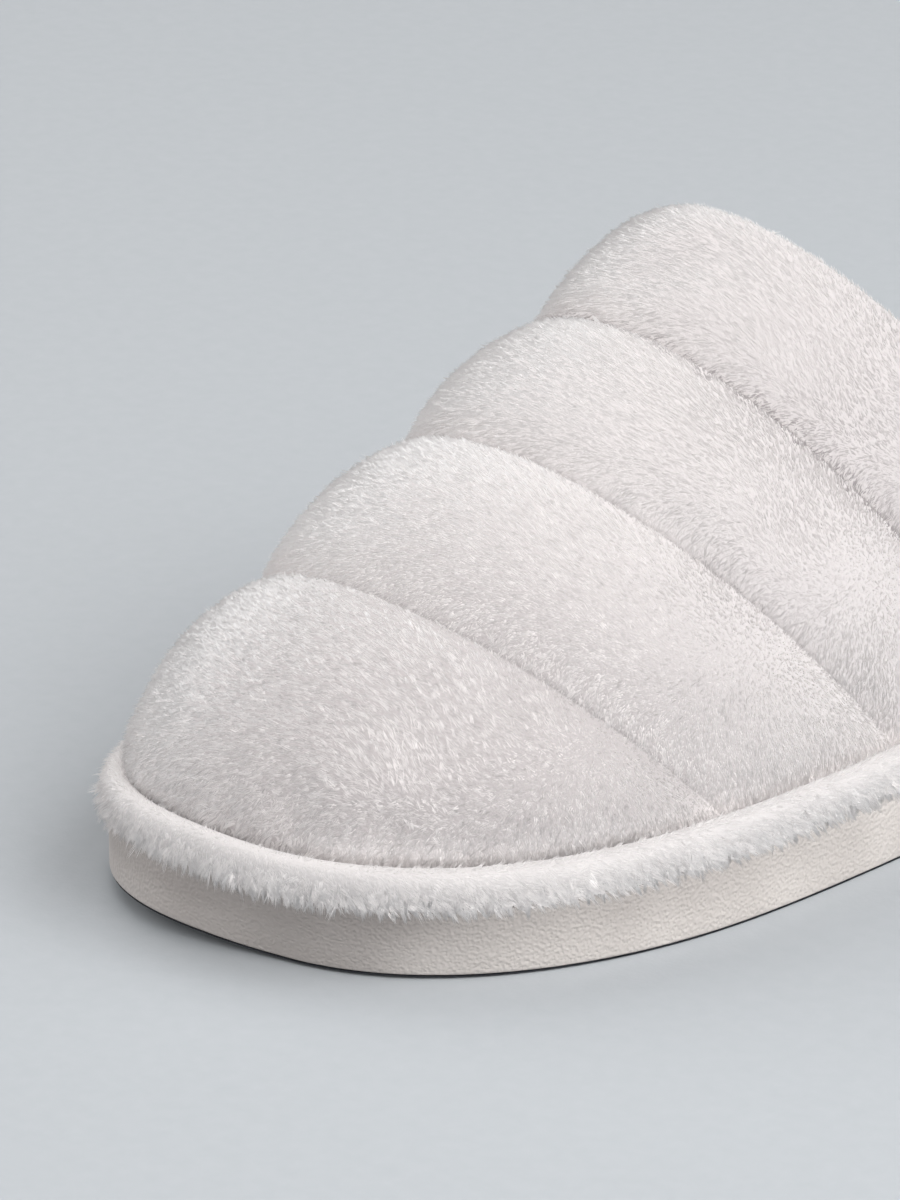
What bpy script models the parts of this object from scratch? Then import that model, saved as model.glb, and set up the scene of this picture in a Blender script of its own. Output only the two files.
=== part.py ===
"""A plush house slipper for the left foot: an open-backed mule on a wrapped platform sole.

The frame has +Z up, the toe towards -Y and the wearer's left towards +X. The origin is on the floor, under the
middle of the slipper. A station is a distance along the sole from the tip of its toe. Sizes are in millimetres,
and MM turns them into metres.
"""
import math
from collections import namedtuple

import bmesh
import bpy
import numpy as np

MM = 0.001
GAP = 0.3

# Plan of the sole
SOLE_LENGTH = 252.0
BALL_STATION = 82.0
HEEL_STATION = 212.0
BALL_WIDTH = 96.0
HEEL_WIDTH = 72.0
TOE_SQUARENESS = 2.5
HEEL_SQUARENESS = 2.1
TOE_SWING = 2.0
WAIST_SWING = 2.0

# Heights of the sole
TOE_SPRING = 2.8
SPRING_START = 62.0
OUTSOLE_THICKNESS = 1.0
OUTSOLE_INSET = 2.2
WALL_HEIGHT = 9.6
HEEL_RISE = 4.0
WALL_EDGE_RADIUS = 1.6

# Plush roll round the upper edge of the sole
RAND_INSET = 0.7
RAND_HALF_WIDTH = 2.5
RAND_HALF_HEIGHT = 3.1
RAND_SQUARENESS = 2.4
RAND_SIDES = 12

# Footbed
INSOLE_THICKNESS = 5.2
INSOLE_TOE_INSET = 7.0
INSOLE_HEEL_INSET = 3.7
INSOLE_EDGE_RADIUS = 1.8
INSOLE_STEP_START = 1.0
INSOLE_STEP_LENGTH = 6.0

# Last inside the upper
LINING_INSET = 6.5
FEATHER_ABOVE_PLATFORM = 4.8
MARGIN_GAP = 0.5
INSTEP_HEIGHT = 81.7
RIDGE_SLOPE = 0.52
NOSE_LENGTH = 33.0
NOSE_SQUARENESS = 2.3
SECTION_FULLNESS = 1.42

# Quilted wall of the upper
SEAM_WALL = 2.8
PUFF_HEIGHT = 2.6
PUFF_ROUNDNESS = 0.6
PUFF_EDGE_POWER = 8
COLLAR_RIM_PART = 0.25
COLLAR_PUFF_TURN = 0.62

# Seams of the upper: where each crosses the ridge of the last, and where it reaches the sole
Seam = namedtuple("Seam", "name crest foot")
SEAMS = (
    Seam("toe", LINING_INSET, 26.0),
    Seam("first_channel", 34.0, 60.0),
    Seam("second_channel", 61.0, 96.0),
    Seam("third_channel", 85.0, 124.0),
    Seam("collar", 107.5, 157.0),
)

# Fineness of the meshes
TIP_ANGLE = math.radians(2.5)
TURN_ROWS = 20
WAIST_ROWS = 22
CHANNEL_ROWS = 8
RIM_SEGMENTS = 3
ACROSS_COLUMNS = 36
SMOOTH_ANGLE = math.radians(40.0)


def smoothstep(value):
    """Ease from 0 to 1 as the value goes from 0 to 1."""
    part = np.clip(value, 0.0, 1.0)
    return part * part * (3.0 - 2.0 * part)


def round_off(part, squareness):
    """Height of a superellipse's quarter, 1 at its middle and 0 at its end."""
    return np.clip(1.0 - np.clip(part, 0.0, 1.0) ** squareness, 0.0, 1.0) ** (1.0 / squareness)


def waist_part(station):
    """How far a station is from the ball, 0, to the heel, 1."""
    return np.clip((station - BALL_STATION) / (HEEL_STATION - BALL_STATION), 0.0, 1.0)


def half_width(station, inset):
    """Half the width of the sole's outline, set in all round."""
    ball = BALL_WIDTH / 2 - inset
    heel = HEEL_WIDTH / 2 - inset
    side = ball + (heel - ball) * smoothstep(waist_part(station))
    toe = round_off((BALL_STATION - station) / (BALL_STATION - inset), TOE_SQUARENESS)
    back = round_off((station - HEEL_STATION) / (SOLE_LENGTH - inset - HEEL_STATION), HEEL_SQUARENESS)
    return side * toe * back


def centre_line(station):
    """Sideways place of the sole's middle: the toe swings to the big toe's side, the waist away from it."""
    toe = np.clip((BALL_STATION - station) / BALL_STATION, 0.0, 1.0)
    return WAIST_SWING * np.sin(math.pi * waist_part(station)) ** 2 - TOE_SWING * toe ** 2


def floor_lift(station):
    """Toe spring: how high the bottom of the sole is off the floor."""
    return TOE_SPRING * np.clip((SPRING_START - station) / SPRING_START, 0.0, 1.0) ** 2


def wall_bottom(station):
    """Height of the platform's underside."""
    return floor_lift(station) + OUTSOLE_THICKNESS + GAP


def platform_top(station):
    """Height of the platform's upper face, which rises towards the heel."""
    return wall_bottom(station) + WALL_HEIGHT + HEEL_RISE * smoothstep(waist_part(station))


def feather_height(station):
    """Height of the line where the upper meets the plush roll."""
    return platform_top(station) + FEATHER_ABOVE_PLATFORM


def ridge_height(station):
    """Height of the last's ridge: a straight instep that ends in a round nose."""
    instep = INSTEP_HEIGHT + RIDGE_SLOPE * (station - SEAMS[-1].crest)
    nose = round_off(1.0 - (station - LINING_INSET) / NOSE_LENGTH, NOSE_SQUARENESS)
    feather = feather_height(station)
    return feather + (instep - feather) * nose


def plan_stations(toe_inset, heel_inset):
    """Stations from toe to heel, closer together where the outline turns."""
    turn = np.linspace(TIP_ANGLE, math.pi / 2, TURN_ROWS)
    toe = BALL_STATION - (BALL_STATION - toe_inset) * np.cos(turn) ** (2 / TOE_SQUARENESS)
    heel_length = SOLE_LENGTH - HEEL_STATION - heel_inset
    heel = HEEL_STATION + heel_length * np.cos(turn[::-1]) ** (2 / HEEL_SQUARENESS)
    waist = np.linspace(BALL_STATION, HEEL_STATION, WAIST_ROWS)
    return np.concatenate([toe, waist[1:-1], heel])


def placed(across, station, height):
    """A point of the slipper in metres, from its place across, its station and its height."""
    return (across * MM, (station - SOLE_LENGTH / 2) * MM, height * MM)


def station_of(vert):
    """The station that a placed vertex lies at."""
    return vert.co.y / MM + SOLE_LENGTH / 2


def collection(name):
    """A new collection of the scene."""
    group = bpy.data.collections.new(name)
    bpy.context.scene.collection.children.link(group)
    return group


def finish(name, colour, roughness):
    """The material of one sub-part."""
    material = bpy.data.materials.new(name)
    material.use_nodes = True
    shader = material.node_tree.nodes["Principled BSDF"]
    shader.inputs["Base Color"].default_value = (*colour, 1.0)
    shader.inputs["Roughness"].default_value = roughness
    shader.inputs["Metallic"].default_value = 0.0
    return material


def mesh_object(name, shape, material, group):
    """An object for a bmesh, shaded smooth apart from its sharp edges."""
    mesh = bpy.data.meshes.new(name)
    shape.to_mesh(mesh)
    shape.free()
    mesh.shade_smooth()
    mesh.set_sharp_from_angle(angle=SMOOTH_ANGLE)
    mesh.materials.append(material)
    thing = bpy.data.objects.new(name, mesh)
    group.objects.link(thing)
    return thing


def round_rim(shape, facing, radius):
    """Round the edge between a plate's side and its upper face, facing 1, or its under face, facing -1."""
    rim = []
    for edge in shape.edges:
        facings = [facing * face.normal.z > 0.5 for face in edge.link_faces]
        if any(facings) and not all(facings):
            rim.append(edge)
    bmesh.ops.bevel(
        shape, geom=rim, offset=radius * MM, segments=RIM_SEGMENTS, profile=0.5, affect="EDGES", material=-1
    )


def plate(stations, inset_at, bottom_at, top_at):
    """A closed plate over the sole's plan: a strip of rows from toe to heel, extruded upwards."""
    shape = bmesh.new()
    rows = len(stations) - 1
    bmesh.ops.create_grid(shape, x_segments=1, y_segments=rows, size=0.5)
    for vert in shape.verts:
        station = stations[round((vert.co.y + 0.5) * rows)]
        side = math.copysign(1.0, vert.co.x)
        across = centre_line(station) + side * half_width(station, inset_at(station))
        vert.co = placed(across, station, bottom_at(station))
    raised = bmesh.ops.extrude_face_region(shape, geom=shape.faces[:])["geom"]
    for vert in raised:
        if isinstance(vert, bmesh.types.BMVert):
            vert.co.z = top_at(station_of(vert)) * MM
    bmesh.ops.recalc_face_normals(shape, faces=shape.faces[:])
    return shape


def outsole(group):
    """The thin sheet that stands on the floor, set in from the wall."""
    stations = plan_stations(OUTSOLE_INSET, OUTSOLE_INSET)
    shape = plate(
        stations,
        lambda station: OUTSOLE_INSET,
        floor_lift,
        lambda station: floor_lift(station) + OUTSOLE_THICKNESS,
    )
    return mesh_object("outsole", shape, finish("outsole_rubber", (0.05, 0.045, 0.042), 0.7), group)


def midsole(group):
    """The wrapped platform, whose wall shows all round."""
    shape = plate(plan_stations(0.0, 0.0), lambda station: 0.0, wall_bottom, platform_top)
    round_rim(shape, -1, WALL_EDGE_RADIUS)
    return mesh_object("midsole", shape, finish("wall_leather", (0.60, 0.56, 0.53), 0.45), group)


def insole_inset(station):
    """Inset of the footbed: inside the upper's wall at the front, out to the plush roll at the heel."""
    behind = (station - SEAMS[-1].foot - INSOLE_STEP_START) / INSOLE_STEP_LENGTH
    return INSOLE_TOE_INSET + (INSOLE_HEEL_INSET - INSOLE_TOE_INSET) * smoothstep(behind)


def insole(group):
    """The padded footbed on top of the platform."""
    shape = plate(
        plan_stations(INSOLE_TOE_INSET, INSOLE_HEEL_INSET),
        insole_inset,
        lambda station: platform_top(station) + GAP,
        lambda station: platform_top(station) + GAP + INSOLE_THICKNESS,
    )
    round_rim(shape, 1, INSOLE_EDGE_RADIUS)
    return mesh_object("insole", shape, finish("footbed_plush", (0.71, 0.68, 0.67), 0.95), group)


def closed_spline(curve, points):
    """A closed run of straight pieces through the points."""
    spline = curve.splines.new("POLY")
    spline.points.add(len(points) - 1)
    for slot, point in zip(spline.points, points):
        slot.co = (*point, 1.0)
    spline.use_cyclic_u = True


def rand_profile(guides):
    """The rounded section of the plush roll."""
    curve = bpy.data.curves.new("rand_profile", "CURVE")
    points = []
    for side in range(RAND_SIDES):
        angle = -math.tau * side / RAND_SIDES
        wide = math.copysign(abs(math.cos(angle)) ** (2 / RAND_SQUARENESS), math.cos(angle))
        tall = math.copysign(abs(math.sin(angle)) ** (2 / RAND_SQUARENESS), math.sin(angle))
        points.append((wide * RAND_HALF_WIDTH * MM, tall * RAND_HALF_HEIGHT * MM, 0.0))
    closed_spline(curve, points)
    thing = bpy.data.objects.new("rand_profile", curve)
    thing.hide_render = True
    thing.display_type = "WIRE"
    guides.objects.link(thing)
    return thing


def rand(group, guides):
    """The plush roll: its section swept round the upper edge of the sole."""
    stations = plan_stations(RAND_INSET, RAND_INSET)
    near_side = []
    far_side = []
    for station in stations:
        reach = half_width(station, RAND_INSET)
        height = platform_top(station) + GAP + RAND_HALF_HEIGHT
        near_side.append(placed(centre_line(station) + reach, station, height))
        far_side.append(placed(centre_line(station) - reach, station, height))
    curve = bpy.data.curves.new("rand", "CURVE")
    curve.dimensions = "3D"
    curve.twist_mode = "Z_UP"
    curve.bevel_mode = "OBJECT"
    curve.bevel_object = rand_profile(guides)
    closed_spline(curve, near_side + far_side[::-1])
    curve.materials.append(finish("rand_plush", (0.69, 0.66, 0.66), 0.95))
    thing = bpy.data.objects.new("rand", curve)
    group.objects.link(thing)
    return thing


def channel_at(row):
    """The channel that a row of the upper lies in, and how far across that channel it is."""
    channel = min(int(row), len(SEAMS) - 2)
    return channel, row - channel


def lining_point(row, across):
    """A point of the last, on a plane that leans from a foot on the sole to the ridge.

    The row runs from 0 at the toe to the collar's number. Across runs from -1 to 1, feather to feather.
    """
    channel, part = channel_at(row)
    ahead, behind = SEAMS[channel], SEAMS[channel + 1]
    crest_part = part * part if channel == 0 else part
    crest = ahead.crest + (behind.crest - ahead.crest) * crest_part
    foot = ahead.foot + (behind.foot - ahead.foot) * part
    climb = 1.0 - across * across
    station = foot + (crest - foot) * climb
    height = feather_height(foot) + (ridge_height(crest) - feather_height(foot)) * climb
    feather = feather_height(station)
    share = np.clip((height - feather) / max(ridge_height(station) - feather, MM), 0.0, 1.0)
    spread = half_width(station, LINING_INSET) * math.sqrt(1.0 - share ** SECTION_FULLNESS)
    return placed(centre_line(station) + math.copysign(spread, across), station, height)


def puff(row, across):
    """How full the quilting is: 0 on a seam and at the sole, 1 along the middle of a channel."""
    channel, part = channel_at(row)
    turn = part
    rim = 1.0
    if channel == len(SEAMS) - 2:
        turn = part * COLLAR_PUFF_TURN
        rim = round_off((part - 1.0 + COLLAR_RIM_PART) / COLLAR_RIM_PART, 2.0)
    along = math.sin(math.pi * turn) ** PUFF_ROUNDNESS if 0.0 < turn < 1.0 else 0.0
    return along * rim * math.sqrt(1.0 - abs(across) ** PUFF_EDGE_POWER)


def row_at(part):
    """The row at a share of the way from toe to collar, with rows closer together beside the seams."""
    row = part * (len(SEAMS) - 1)
    channel, share = channel_at(row)
    return channel + 0.5 - 0.5 * math.cos(math.pi * share)


def upper(group):
    """The quilted vamp: the last's surface, its margin down to the platform, and a wall that swells outwards."""
    channels = len(SEAMS) - 1
    shape = bmesh.new()
    fullness = shape.verts.layers.deform.verify()
    bmesh.ops.create_grid(shape, x_segments=ACROSS_COLUMNS, y_segments=CHANNEL_ROWS * channels, size=0.5)
    collar = set()
    for vert in shape.verts:
        across = 2.0 * vert.co.x
        row = row_at(vert.co.y + 0.5)
        if vert.co.y > 0.5 - MM:
            collar.add(vert)
        vert[fullness][0] = puff(row, across)
        vert.co = lining_point(row, across)
    feather = [edge for edge in shape.edges if edge.is_boundary and not collar.issuperset(edge.verts)]
    margin = bmesh.ops.extrude_edge_only(shape, edges=feather)["geom"]
    for vert in margin:
        if isinstance(vert, bmesh.types.BMVert):
            vert.co.z = (platform_top(station_of(vert)) + MARGIN_GAP) * MM
    bmesh.ops.recalc_face_normals(shape, faces=shape.faces[:])
    thing = mesh_object("upper", shape, finish("upper_plush", (0.74, 0.71, 0.70), 0.95), group)
    thing.vertex_groups.new(name="fullness")
    wall = thing.modifiers.new("quilted wall", "SOLIDIFY")
    wall.thickness = (SEAM_WALL + PUFF_HEIGHT) * MM
    wall.offset = 1.0
    wall.vertex_group = "fullness"
    wall.thickness_vertex_group = SEAM_WALL / (SEAM_WALL + PUFF_HEIGHT)
    return thing


def build():
    """Clear the scene and model the slipper, from the floor up."""
    for thing in list(bpy.data.objects):
        bpy.data.objects.remove(thing, do_unlink=True)
    group = collection("house_slipper")
    guides = collection("guides")
    outsole(group)
    midsole(group)
    insole(group)
    rand(group, guides)
    upper(group)


build()
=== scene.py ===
"""Looks of a plush house slipper for the left foot: an open-backed mule on a wrapped platform sole.

The frame has +Z up, the toe towards -Y and the wearer's left towards +X, with the origin on the floor under
the middle of the slipper. A station is a distance along the sole from the tip of its toe. Sizes are in
millimetres and angles in degrees unless a name says otherwise, and MM turns millimetres into metres. The near
side is the wearer's left, which the photograph shows, and the far side the right.
"""

import logging
import math
from dataclasses import dataclass, field, replace
from enum import Enum, IntEnum
from typing import Callable, Iterable

import bmesh
import bpy
import numpy as np
from mathutils import Matrix, Vector, kdtree


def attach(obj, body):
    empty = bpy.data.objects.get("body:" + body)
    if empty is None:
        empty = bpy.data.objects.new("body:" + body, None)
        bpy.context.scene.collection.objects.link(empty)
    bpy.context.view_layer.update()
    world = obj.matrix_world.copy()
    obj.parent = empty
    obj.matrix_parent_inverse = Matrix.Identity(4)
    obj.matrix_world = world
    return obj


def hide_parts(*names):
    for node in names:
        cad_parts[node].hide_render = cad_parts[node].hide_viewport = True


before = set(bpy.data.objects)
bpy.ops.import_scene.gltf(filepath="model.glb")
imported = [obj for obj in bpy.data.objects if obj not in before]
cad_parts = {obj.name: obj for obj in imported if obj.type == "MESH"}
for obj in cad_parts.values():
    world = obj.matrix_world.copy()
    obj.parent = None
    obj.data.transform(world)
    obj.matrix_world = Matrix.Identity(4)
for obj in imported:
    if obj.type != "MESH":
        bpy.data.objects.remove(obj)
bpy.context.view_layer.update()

MM = 0.001
GAP = 0.3
WELD = 0.001 * MM
SHARP_ANGLE = math.radians(50.0)
CHANNEL_SEED_STEP = 10
BODY = "root"
BAKE_MAP = "OFBake"
TONE = "tone"
LOG = logging.getLogger("house_slipper")

Array = np.ndarray
Colour = tuple[float, float, float]
Height = Callable[[Array], Array]
BMPart = bmesh.types.BMVert | bmesh.types.BMEdge | bmesh.types.BMFace


class Node(Enum):
    """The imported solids, from the floor up."""

    OUTSOLE = "outsole"
    MIDSOLE = "midsole"
    INSOLE = "insole"
    RAND = "rand"
    UPPER = "upper"


class Slot(Enum):
    """The record's material slots."""

    RUBBER = "outsole_rubber"
    LEATHER = "wall_leather"
    FOOTBED = "footbed_plush"
    ROLL = "rand_plush"
    QUILT = "upper_plush"


class Seed(IntEnum):
    """Starts of the runs of random numbers."""

    SLACK = 50
    RUFFLE = 60
    WAVER = 70
    LEATHER = 80
    UPPER_PILE = 100
    LINING_PILE = 200
    ROLL_NAP = 300
    ROLL_FRINGE = 310
    FOOTBED_PILE = 400


# Small sums


def smoothstep(value: Array) -> Array:
    """Ease from 0 to 1 as the value goes from 0 to 1."""
    part = np.clip(value, 0.0, 1.0)
    return part * part * (3.0 - 2.0 * part)


def round_off(part: Array, squareness: float) -> Array:
    """Height of a superellipse's quarter, 1 at its middle and 0 at its end."""
    return np.clip(1.0 - np.clip(part, 0.0, 1.0) ** squareness, 0.0, 1.0) ** (1.0 / squareness)


def unit(vectors: Array) -> Array:
    """Rows of vectors, each made one long."""
    length = np.linalg.norm(vectors, axis=-1, keepdims=True)
    return vectors / np.maximum(length, 1e-12)


def rows_dot(one: Array, other: Array) -> Array:
    """Dot products of rows, kept as a column."""
    return (one * other).sum(axis=-1, keepdims=True)


def outward_of(outline: Array) -> Array:
    """Directions that point out of a closed outline in the plan, one for each of its places."""
    ahead = unit(np.roll(outline, -1, axis=0) - np.roll(outline, 1, axis=0))
    return np.stack([ahead[:, 1], -ahead[:, 0]], axis=1)


@dataclass(frozen=True)
class SoftNoise:
    """A smooth random field, made of a few plane waves, that swings about 0 by about 1."""

    wavelength: float
    seed: int
    waves: int = 9
    spread: tuple[float, float] = (0.7, 1.5)

    def at(self, points: Array) -> Array:
        """Values of the field.

        Args:
            points: Places in metres, a row each.

        Returns:
            One value a row.
        """
        draw = np.random.default_rng(self.seed)
        total = np.zeros(len(points))
        for _ in range(self.waves):
            direction = unit(draw.normal(size=3))
            reach = self.wavelength * MM * draw.uniform(*self.spread)
            phase = draw.uniform(0.0, math.tau)
            total += np.sin(points @ direction * (math.tau / reach) + phase)
        return total / math.sqrt(self.waves / 2.0)


# The shape that the slipper is made on


@dataclass(frozen=True)
class Seam:
    """A sewn line across the upper: where it crosses the ridge of the last, and where it reaches the sole."""

    crest: float
    foot: float


@dataclass(frozen=True)
class Last:
    """Plan of the sole, its heights, and the last inside the upper."""

    sole_length: float = 252.0
    ball_station: float = 82.0
    heel_station: float = 212.0
    ball_width: float = 96.0
    heel_width: float = 72.0
    toe_squareness: float = 2.5
    heel_squareness: float = 2.1
    toe_swing: float = 2.0
    waist_swing: float = 2.0
    toe_spring: float = 2.8
    spring_start: float = 62.0
    toe_settling: float = 0.8
    toe_tuck: float = 2.1
    settling_width: float = 26.0
    toe_sag: float = 1.2
    sag_length: float = 70.0
    far_press: float = 0.7
    far_press_start: float = 3.0
    far_press_length: float = 18.0
    far_press_end: float = 90.0
    far_press_fade: float = 40.0
    outsole_thickness: float = 1.0
    wall_lip: float = 1.06
    tread_show: float = 0.12
    wall_height: float = 9.6
    heel_rise: float = 4.0
    lining_inset: float = 6.5
    feather_above_platform: float = 4.8
    instep_height: float = 81.7
    ridge_slope: float = 0.52
    nose_length: float = 33.0
    nose_squareness: float = 2.3
    section_fullness: float = 1.42
    seams: tuple[Seam, ...] = (
        Seam(crest=6.5, foot=26.0),
        Seam(crest=34.0, foot=60.0),
        Seam(crest=61.0, foot=96.0),
        Seam(crest=85.0, foot=124.0),
        Seam(crest=107.5, foot=157.0),
    )

    @property
    def channels(self) -> int:
        """Number of quilted channels between the seams."""
        return len(self.seams) - 1

    def waist_part(self, station: Array) -> Array:
        """How far a station is from the ball, 0, to the heel, 1."""
        return np.clip((station - self.ball_station) / (self.heel_station - self.ball_station), 0.0, 1.0)

    def half_width(self, station: Array, inset: Array) -> Array:
        """Half the width of the sole's outline, set in all round."""
        ball = self.ball_width / 2 - inset
        heel = self.heel_width / 2 - inset
        side = ball + (heel - ball) * smoothstep(self.waist_part(station))
        toe = round_off((self.ball_station - station) / (self.ball_station - inset), self.toe_squareness)
        heel_length = self.sole_length - inset - self.heel_station
        back = round_off((station - self.heel_station) / heel_length, self.heel_squareness)
        return side * toe * back

    def centre_line(self, station: Array) -> Array:
        """Sideways place of the sole's middle: the toe swings one way, the waist the other."""
        toe = np.clip((self.ball_station - station) / self.ball_station, 0.0, 1.0)
        waist = np.sin(math.pi * self.waist_part(station)) ** 2
        return self.waist_swing * waist - self.toe_swing * toe**2

    def floor_lift(self, station: Array) -> Array:
        """Toe spring: how high the bottom of the sole is off the floor."""
        return self.toe_spring * np.clip((self.spring_start - station) / self.spring_start, 0.0, 1.0) ** 2

    def settling(self, across: Array, station: Array) -> Array:
        """How far the soft sole comes down to the floor at the near side of the toe."""
        near = smoothstep(0.5 + across / self.settling_width)
        return self.toe_settling * near * self.floor_lift(station)

    def wall_bottom(self, station: Array) -> Array:
        """Height of the platform's underside."""
        return self.floor_lift(station) + self.outsole_thickness + GAP

    def platform_top(self, station: Array) -> Array:
        """Height of the platform's upper face, which rises towards the heel."""
        wedge = self.heel_rise * smoothstep(self.waist_part(station))
        return self.wall_bottom(station) + self.wall_height + wedge

    def edge_top(self, station: Array) -> Array:
        """Height of the wall's upper edge, which the soft toe lets sag a little."""
        return self.platform_top(station) - self.toe_sag * (1.0 - smoothstep(station / self.sag_length))

    def feather_height(self, station: Array) -> Array:
        """Height of the line where the upper meets the plush roll."""
        return self.platform_top(station) + self.feather_above_platform

    def ridge_height(self, station: Array) -> Array:
        """Height of the last's ridge: a straight instep that ends in a round nose."""
        instep = self.instep_height + self.ridge_slope * (station - self.seams[-1].crest)
        nose = round_off(1.0 - (station - self.lining_inset) / self.nose_length, self.nose_squareness)
        feather = self.feather_height(station)
        return feather + (instep - feather) * nose

    def placed(self, across: Array, station: Array, height: Array) -> Array:
        """Points of the slipper in metres, from places across, stations and heights."""
        return np.stack([across, station - self.sole_length / 2, height], axis=-1) * MM

    def station_of(self, points: Array | Vector) -> Array | float:
        """The stations that points in metres, or a single one, lie at."""
        along = points.y if isinstance(points, Vector) else points[..., 1]
        return along / MM + self.sole_length / 2

    def channel_of(self, row: Array) -> tuple[Array, Array]:
        """The channel that each row of the upper lies in, and how far across that channel it is."""
        channel = np.minimum(row.astype(int), self.channels - 1)
        return channel, row - channel

    def lining_points(self, row: Array, across: Array) -> Array:
        """Points of the last.

        Args:
            row: From 0 at the toe to the number of channels at the collar.
            across: From -1 to 1, feather to feather.

        Returns:
            Places in metres, a row each.
        """
        channel, part = self.channel_of(row)
        crests = np.array([seam.crest for seam in self.seams])
        feet = np.array([seam.foot for seam in self.seams])
        crest_part = np.where(channel == 0, part * part, part)
        crest = crests[channel] + (crests[channel + 1] - crests[channel]) * crest_part
        foot = feet[channel] + (feet[channel + 1] - feet[channel]) * part
        climb = 1.0 - across * across
        station = foot + (crest - foot) * climb
        height = self.feather_height(foot) + (self.ridge_height(crest) - self.feather_height(foot)) * climb
        feather = self.feather_height(station)
        share = np.clip((height - feather) / np.maximum(self.ridge_height(station) - feather, MM), 0.0, 1.0)
        spread = self.half_width(station, self.lining_inset) * np.sqrt(1.0 - share**self.section_fullness)
        return self.placed(self.centre_line(station) + np.copysign(spread, across), station, height)

    def outline(self, inset: float, steps: int) -> Array:
        """Even stations and sides round the sole's plan.

        Args:
            inset: How far the outline is set in.
            steps: Number of places round it.

        Returns:
            Rows of place across and station, from the toe down one side and back up the other.
        """
        fine = 200
        turn = np.linspace(0.0, math.pi / 2, fine)
        toe = self.ball_station - (self.ball_station - inset) * np.cos(turn) ** (2 / self.toe_squareness)
        heel_length = self.sole_length - self.heel_station - inset
        heel = self.heel_station + heel_length * np.cos(turn[::-1]) ** (2 / self.heel_squareness)
        waist = np.linspace(self.ball_station, self.heel_station, fine)[1:-1]
        station = np.concatenate([toe, waist, heel])
        reach = self.half_width(station, inset)
        middle = self.centre_line(station)
        near = np.stack([middle + reach, station], axis=1)
        far = np.stack([middle - reach, station], axis=1)[::-1]
        loop = np.concatenate([near, far[1:]])
        run = np.concatenate([[0.0], np.cumsum(np.linalg.norm(np.diff(loop, axis=0), axis=1))])
        even = np.linspace(0.0, run[-1], steps, endpoint=False)
        return np.stack([np.interp(even, run, loop[:, 0]), np.interp(even, run, loop[:, 1])], axis=1)

    def on_far_side(self, outline: Array) -> Array:
        """How far places of an outline are on the far side of the toe, which is pressed in, from 0 to 1."""
        station = outline[:, 1]
        begun = smoothstep((station - self.far_press_start) / self.far_press_length)
        ended = smoothstep((station - self.far_press_end) / self.far_press_fade)
        return (outline[:, 0] < 0.0) * begun * (1.0 - ended)

    def tucked(self, outline: Array, share: float) -> Array:
        """An outline drawn in under the toe, where the sole settles, and at its far side.

        Args:
            outline: Rows of place across and station.
            share: Share of the whole tuck, 0 at the top of the wall and 1 at its lower edge.

        Returns:
            The rows, drawn in.
        """
        settled = self.settling(outline[:, 0], outline[:, 1])
        drawn = share * self.toe_tuck * settled + self.far_press * self.on_far_side(outline)
        return outline - outward_of(outline) * drawn[:, None]


LAST = Last()


# Finishes


class NodeSketch:
    """A material and short ways to add to its nodes."""

    def __init__(self, name: str) -> None:
        """Start a material whose only shader is a Principled BSDF."""
        self.material = bpy.data.materials.new(name)
        self.material.use_nodes = True
        self.tree = self.material.node_tree
        self.shader = self.tree.nodes["Principled BSDF"]

    def settle(self, **sockets: float | Colour) -> None:
        """Set sockets of the shader that are the same all over, named with underscores for spaces."""
        for name, value in sockets.items():
            socket = self.shader.inputs[name.replace("_", " ")]
            socket.default_value = (*value, 1.0) if isinstance(value, tuple) else value

    def add(self, kind: str, **values: float) -> bpy.types.Node:
        """A new node with some of its sockets set, named with underscores for spaces."""
        node = self.tree.nodes.new(kind)
        for name, value in values.items():
            node.inputs[name.replace("_", " ")].default_value = value
        return node

    def link(self, source: bpy.types.NodeSocket, target: bpy.types.NodeSocket) -> None:
        """Join two sockets."""
        self.tree.links.new(source, target)

    def on_object(self, texture: bpy.types.Node) -> None:
        """Lay a texture on the object's own coordinates."""
        place = self.add("ShaderNodeTexCoord")
        self.link(place.outputs["Object"], texture.inputs["Vector"])

    def noise(self, size: float, detail: float = 2.0) -> bpy.types.NodeSocket:
        """A noise on the object's own coordinates, with patches of a size in millimetres."""
        texture = self.add("ShaderNodeTexNoise", Scale=1.0 / (size * MM), Detail=detail)
        self.on_object(texture)
        return texture.outputs["Fac"]

    def ramp(self, source: bpy.types.NodeSocket, low: Colour, high: Colour, start: float, end: float) -> None:
        """Colour the shader from one tone to another as a source goes from start to end."""
        ramp = self.add("ShaderNodeValToRGB")
        stops = ramp.color_ramp.elements
        stops[0].position = start
        stops[0].color = (*low, 1.0)
        stops[1].position = end
        stops[1].color = (*high, 1.0)
        self.link(source, ramp.inputs["Fac"])
        self.link(ramp.outputs["Color"], self.shader.inputs["Base Color"])

    def tones(self, deep: Colour, pale: Colour) -> None:
        """Colour the shader from deep to pale by the tone of the mesh's points."""
        tone = self.add("ShaderNodeAttribute")
        tone.attribute_name = TONE
        self.ramp(tone.outputs["Fac"], deep, pale, 0.0, 1.0)

    def shine(self, source: bpy.types.NodeSocket, low: float, high: float) -> None:
        """Drive the roughness from low to high by a source."""
        span = self.add("ShaderNodeMapRange", To_Min=low, To_Max=high)
        self.link(source, span.inputs["Value"])
        self.link(span.outputs["Result"], self.shader.inputs["Roughness"])

    def bump(self, *layers: tuple[bpy.types.NodeSocket, float]) -> None:
        """Stack bumps, each a source and its depth in millimetres."""
        below = None
        for source, depth in layers:
            relief = self.add("ShaderNodeBump", Strength=1.0, Distance=depth * MM)
            self.link(source, relief.inputs["Height"])
            if below is not None:
                self.link(below, relief.inputs["Normal"])
            below = relief.outputs["Normal"]
        self.link(below, self.shader.inputs["Normal"])


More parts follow.
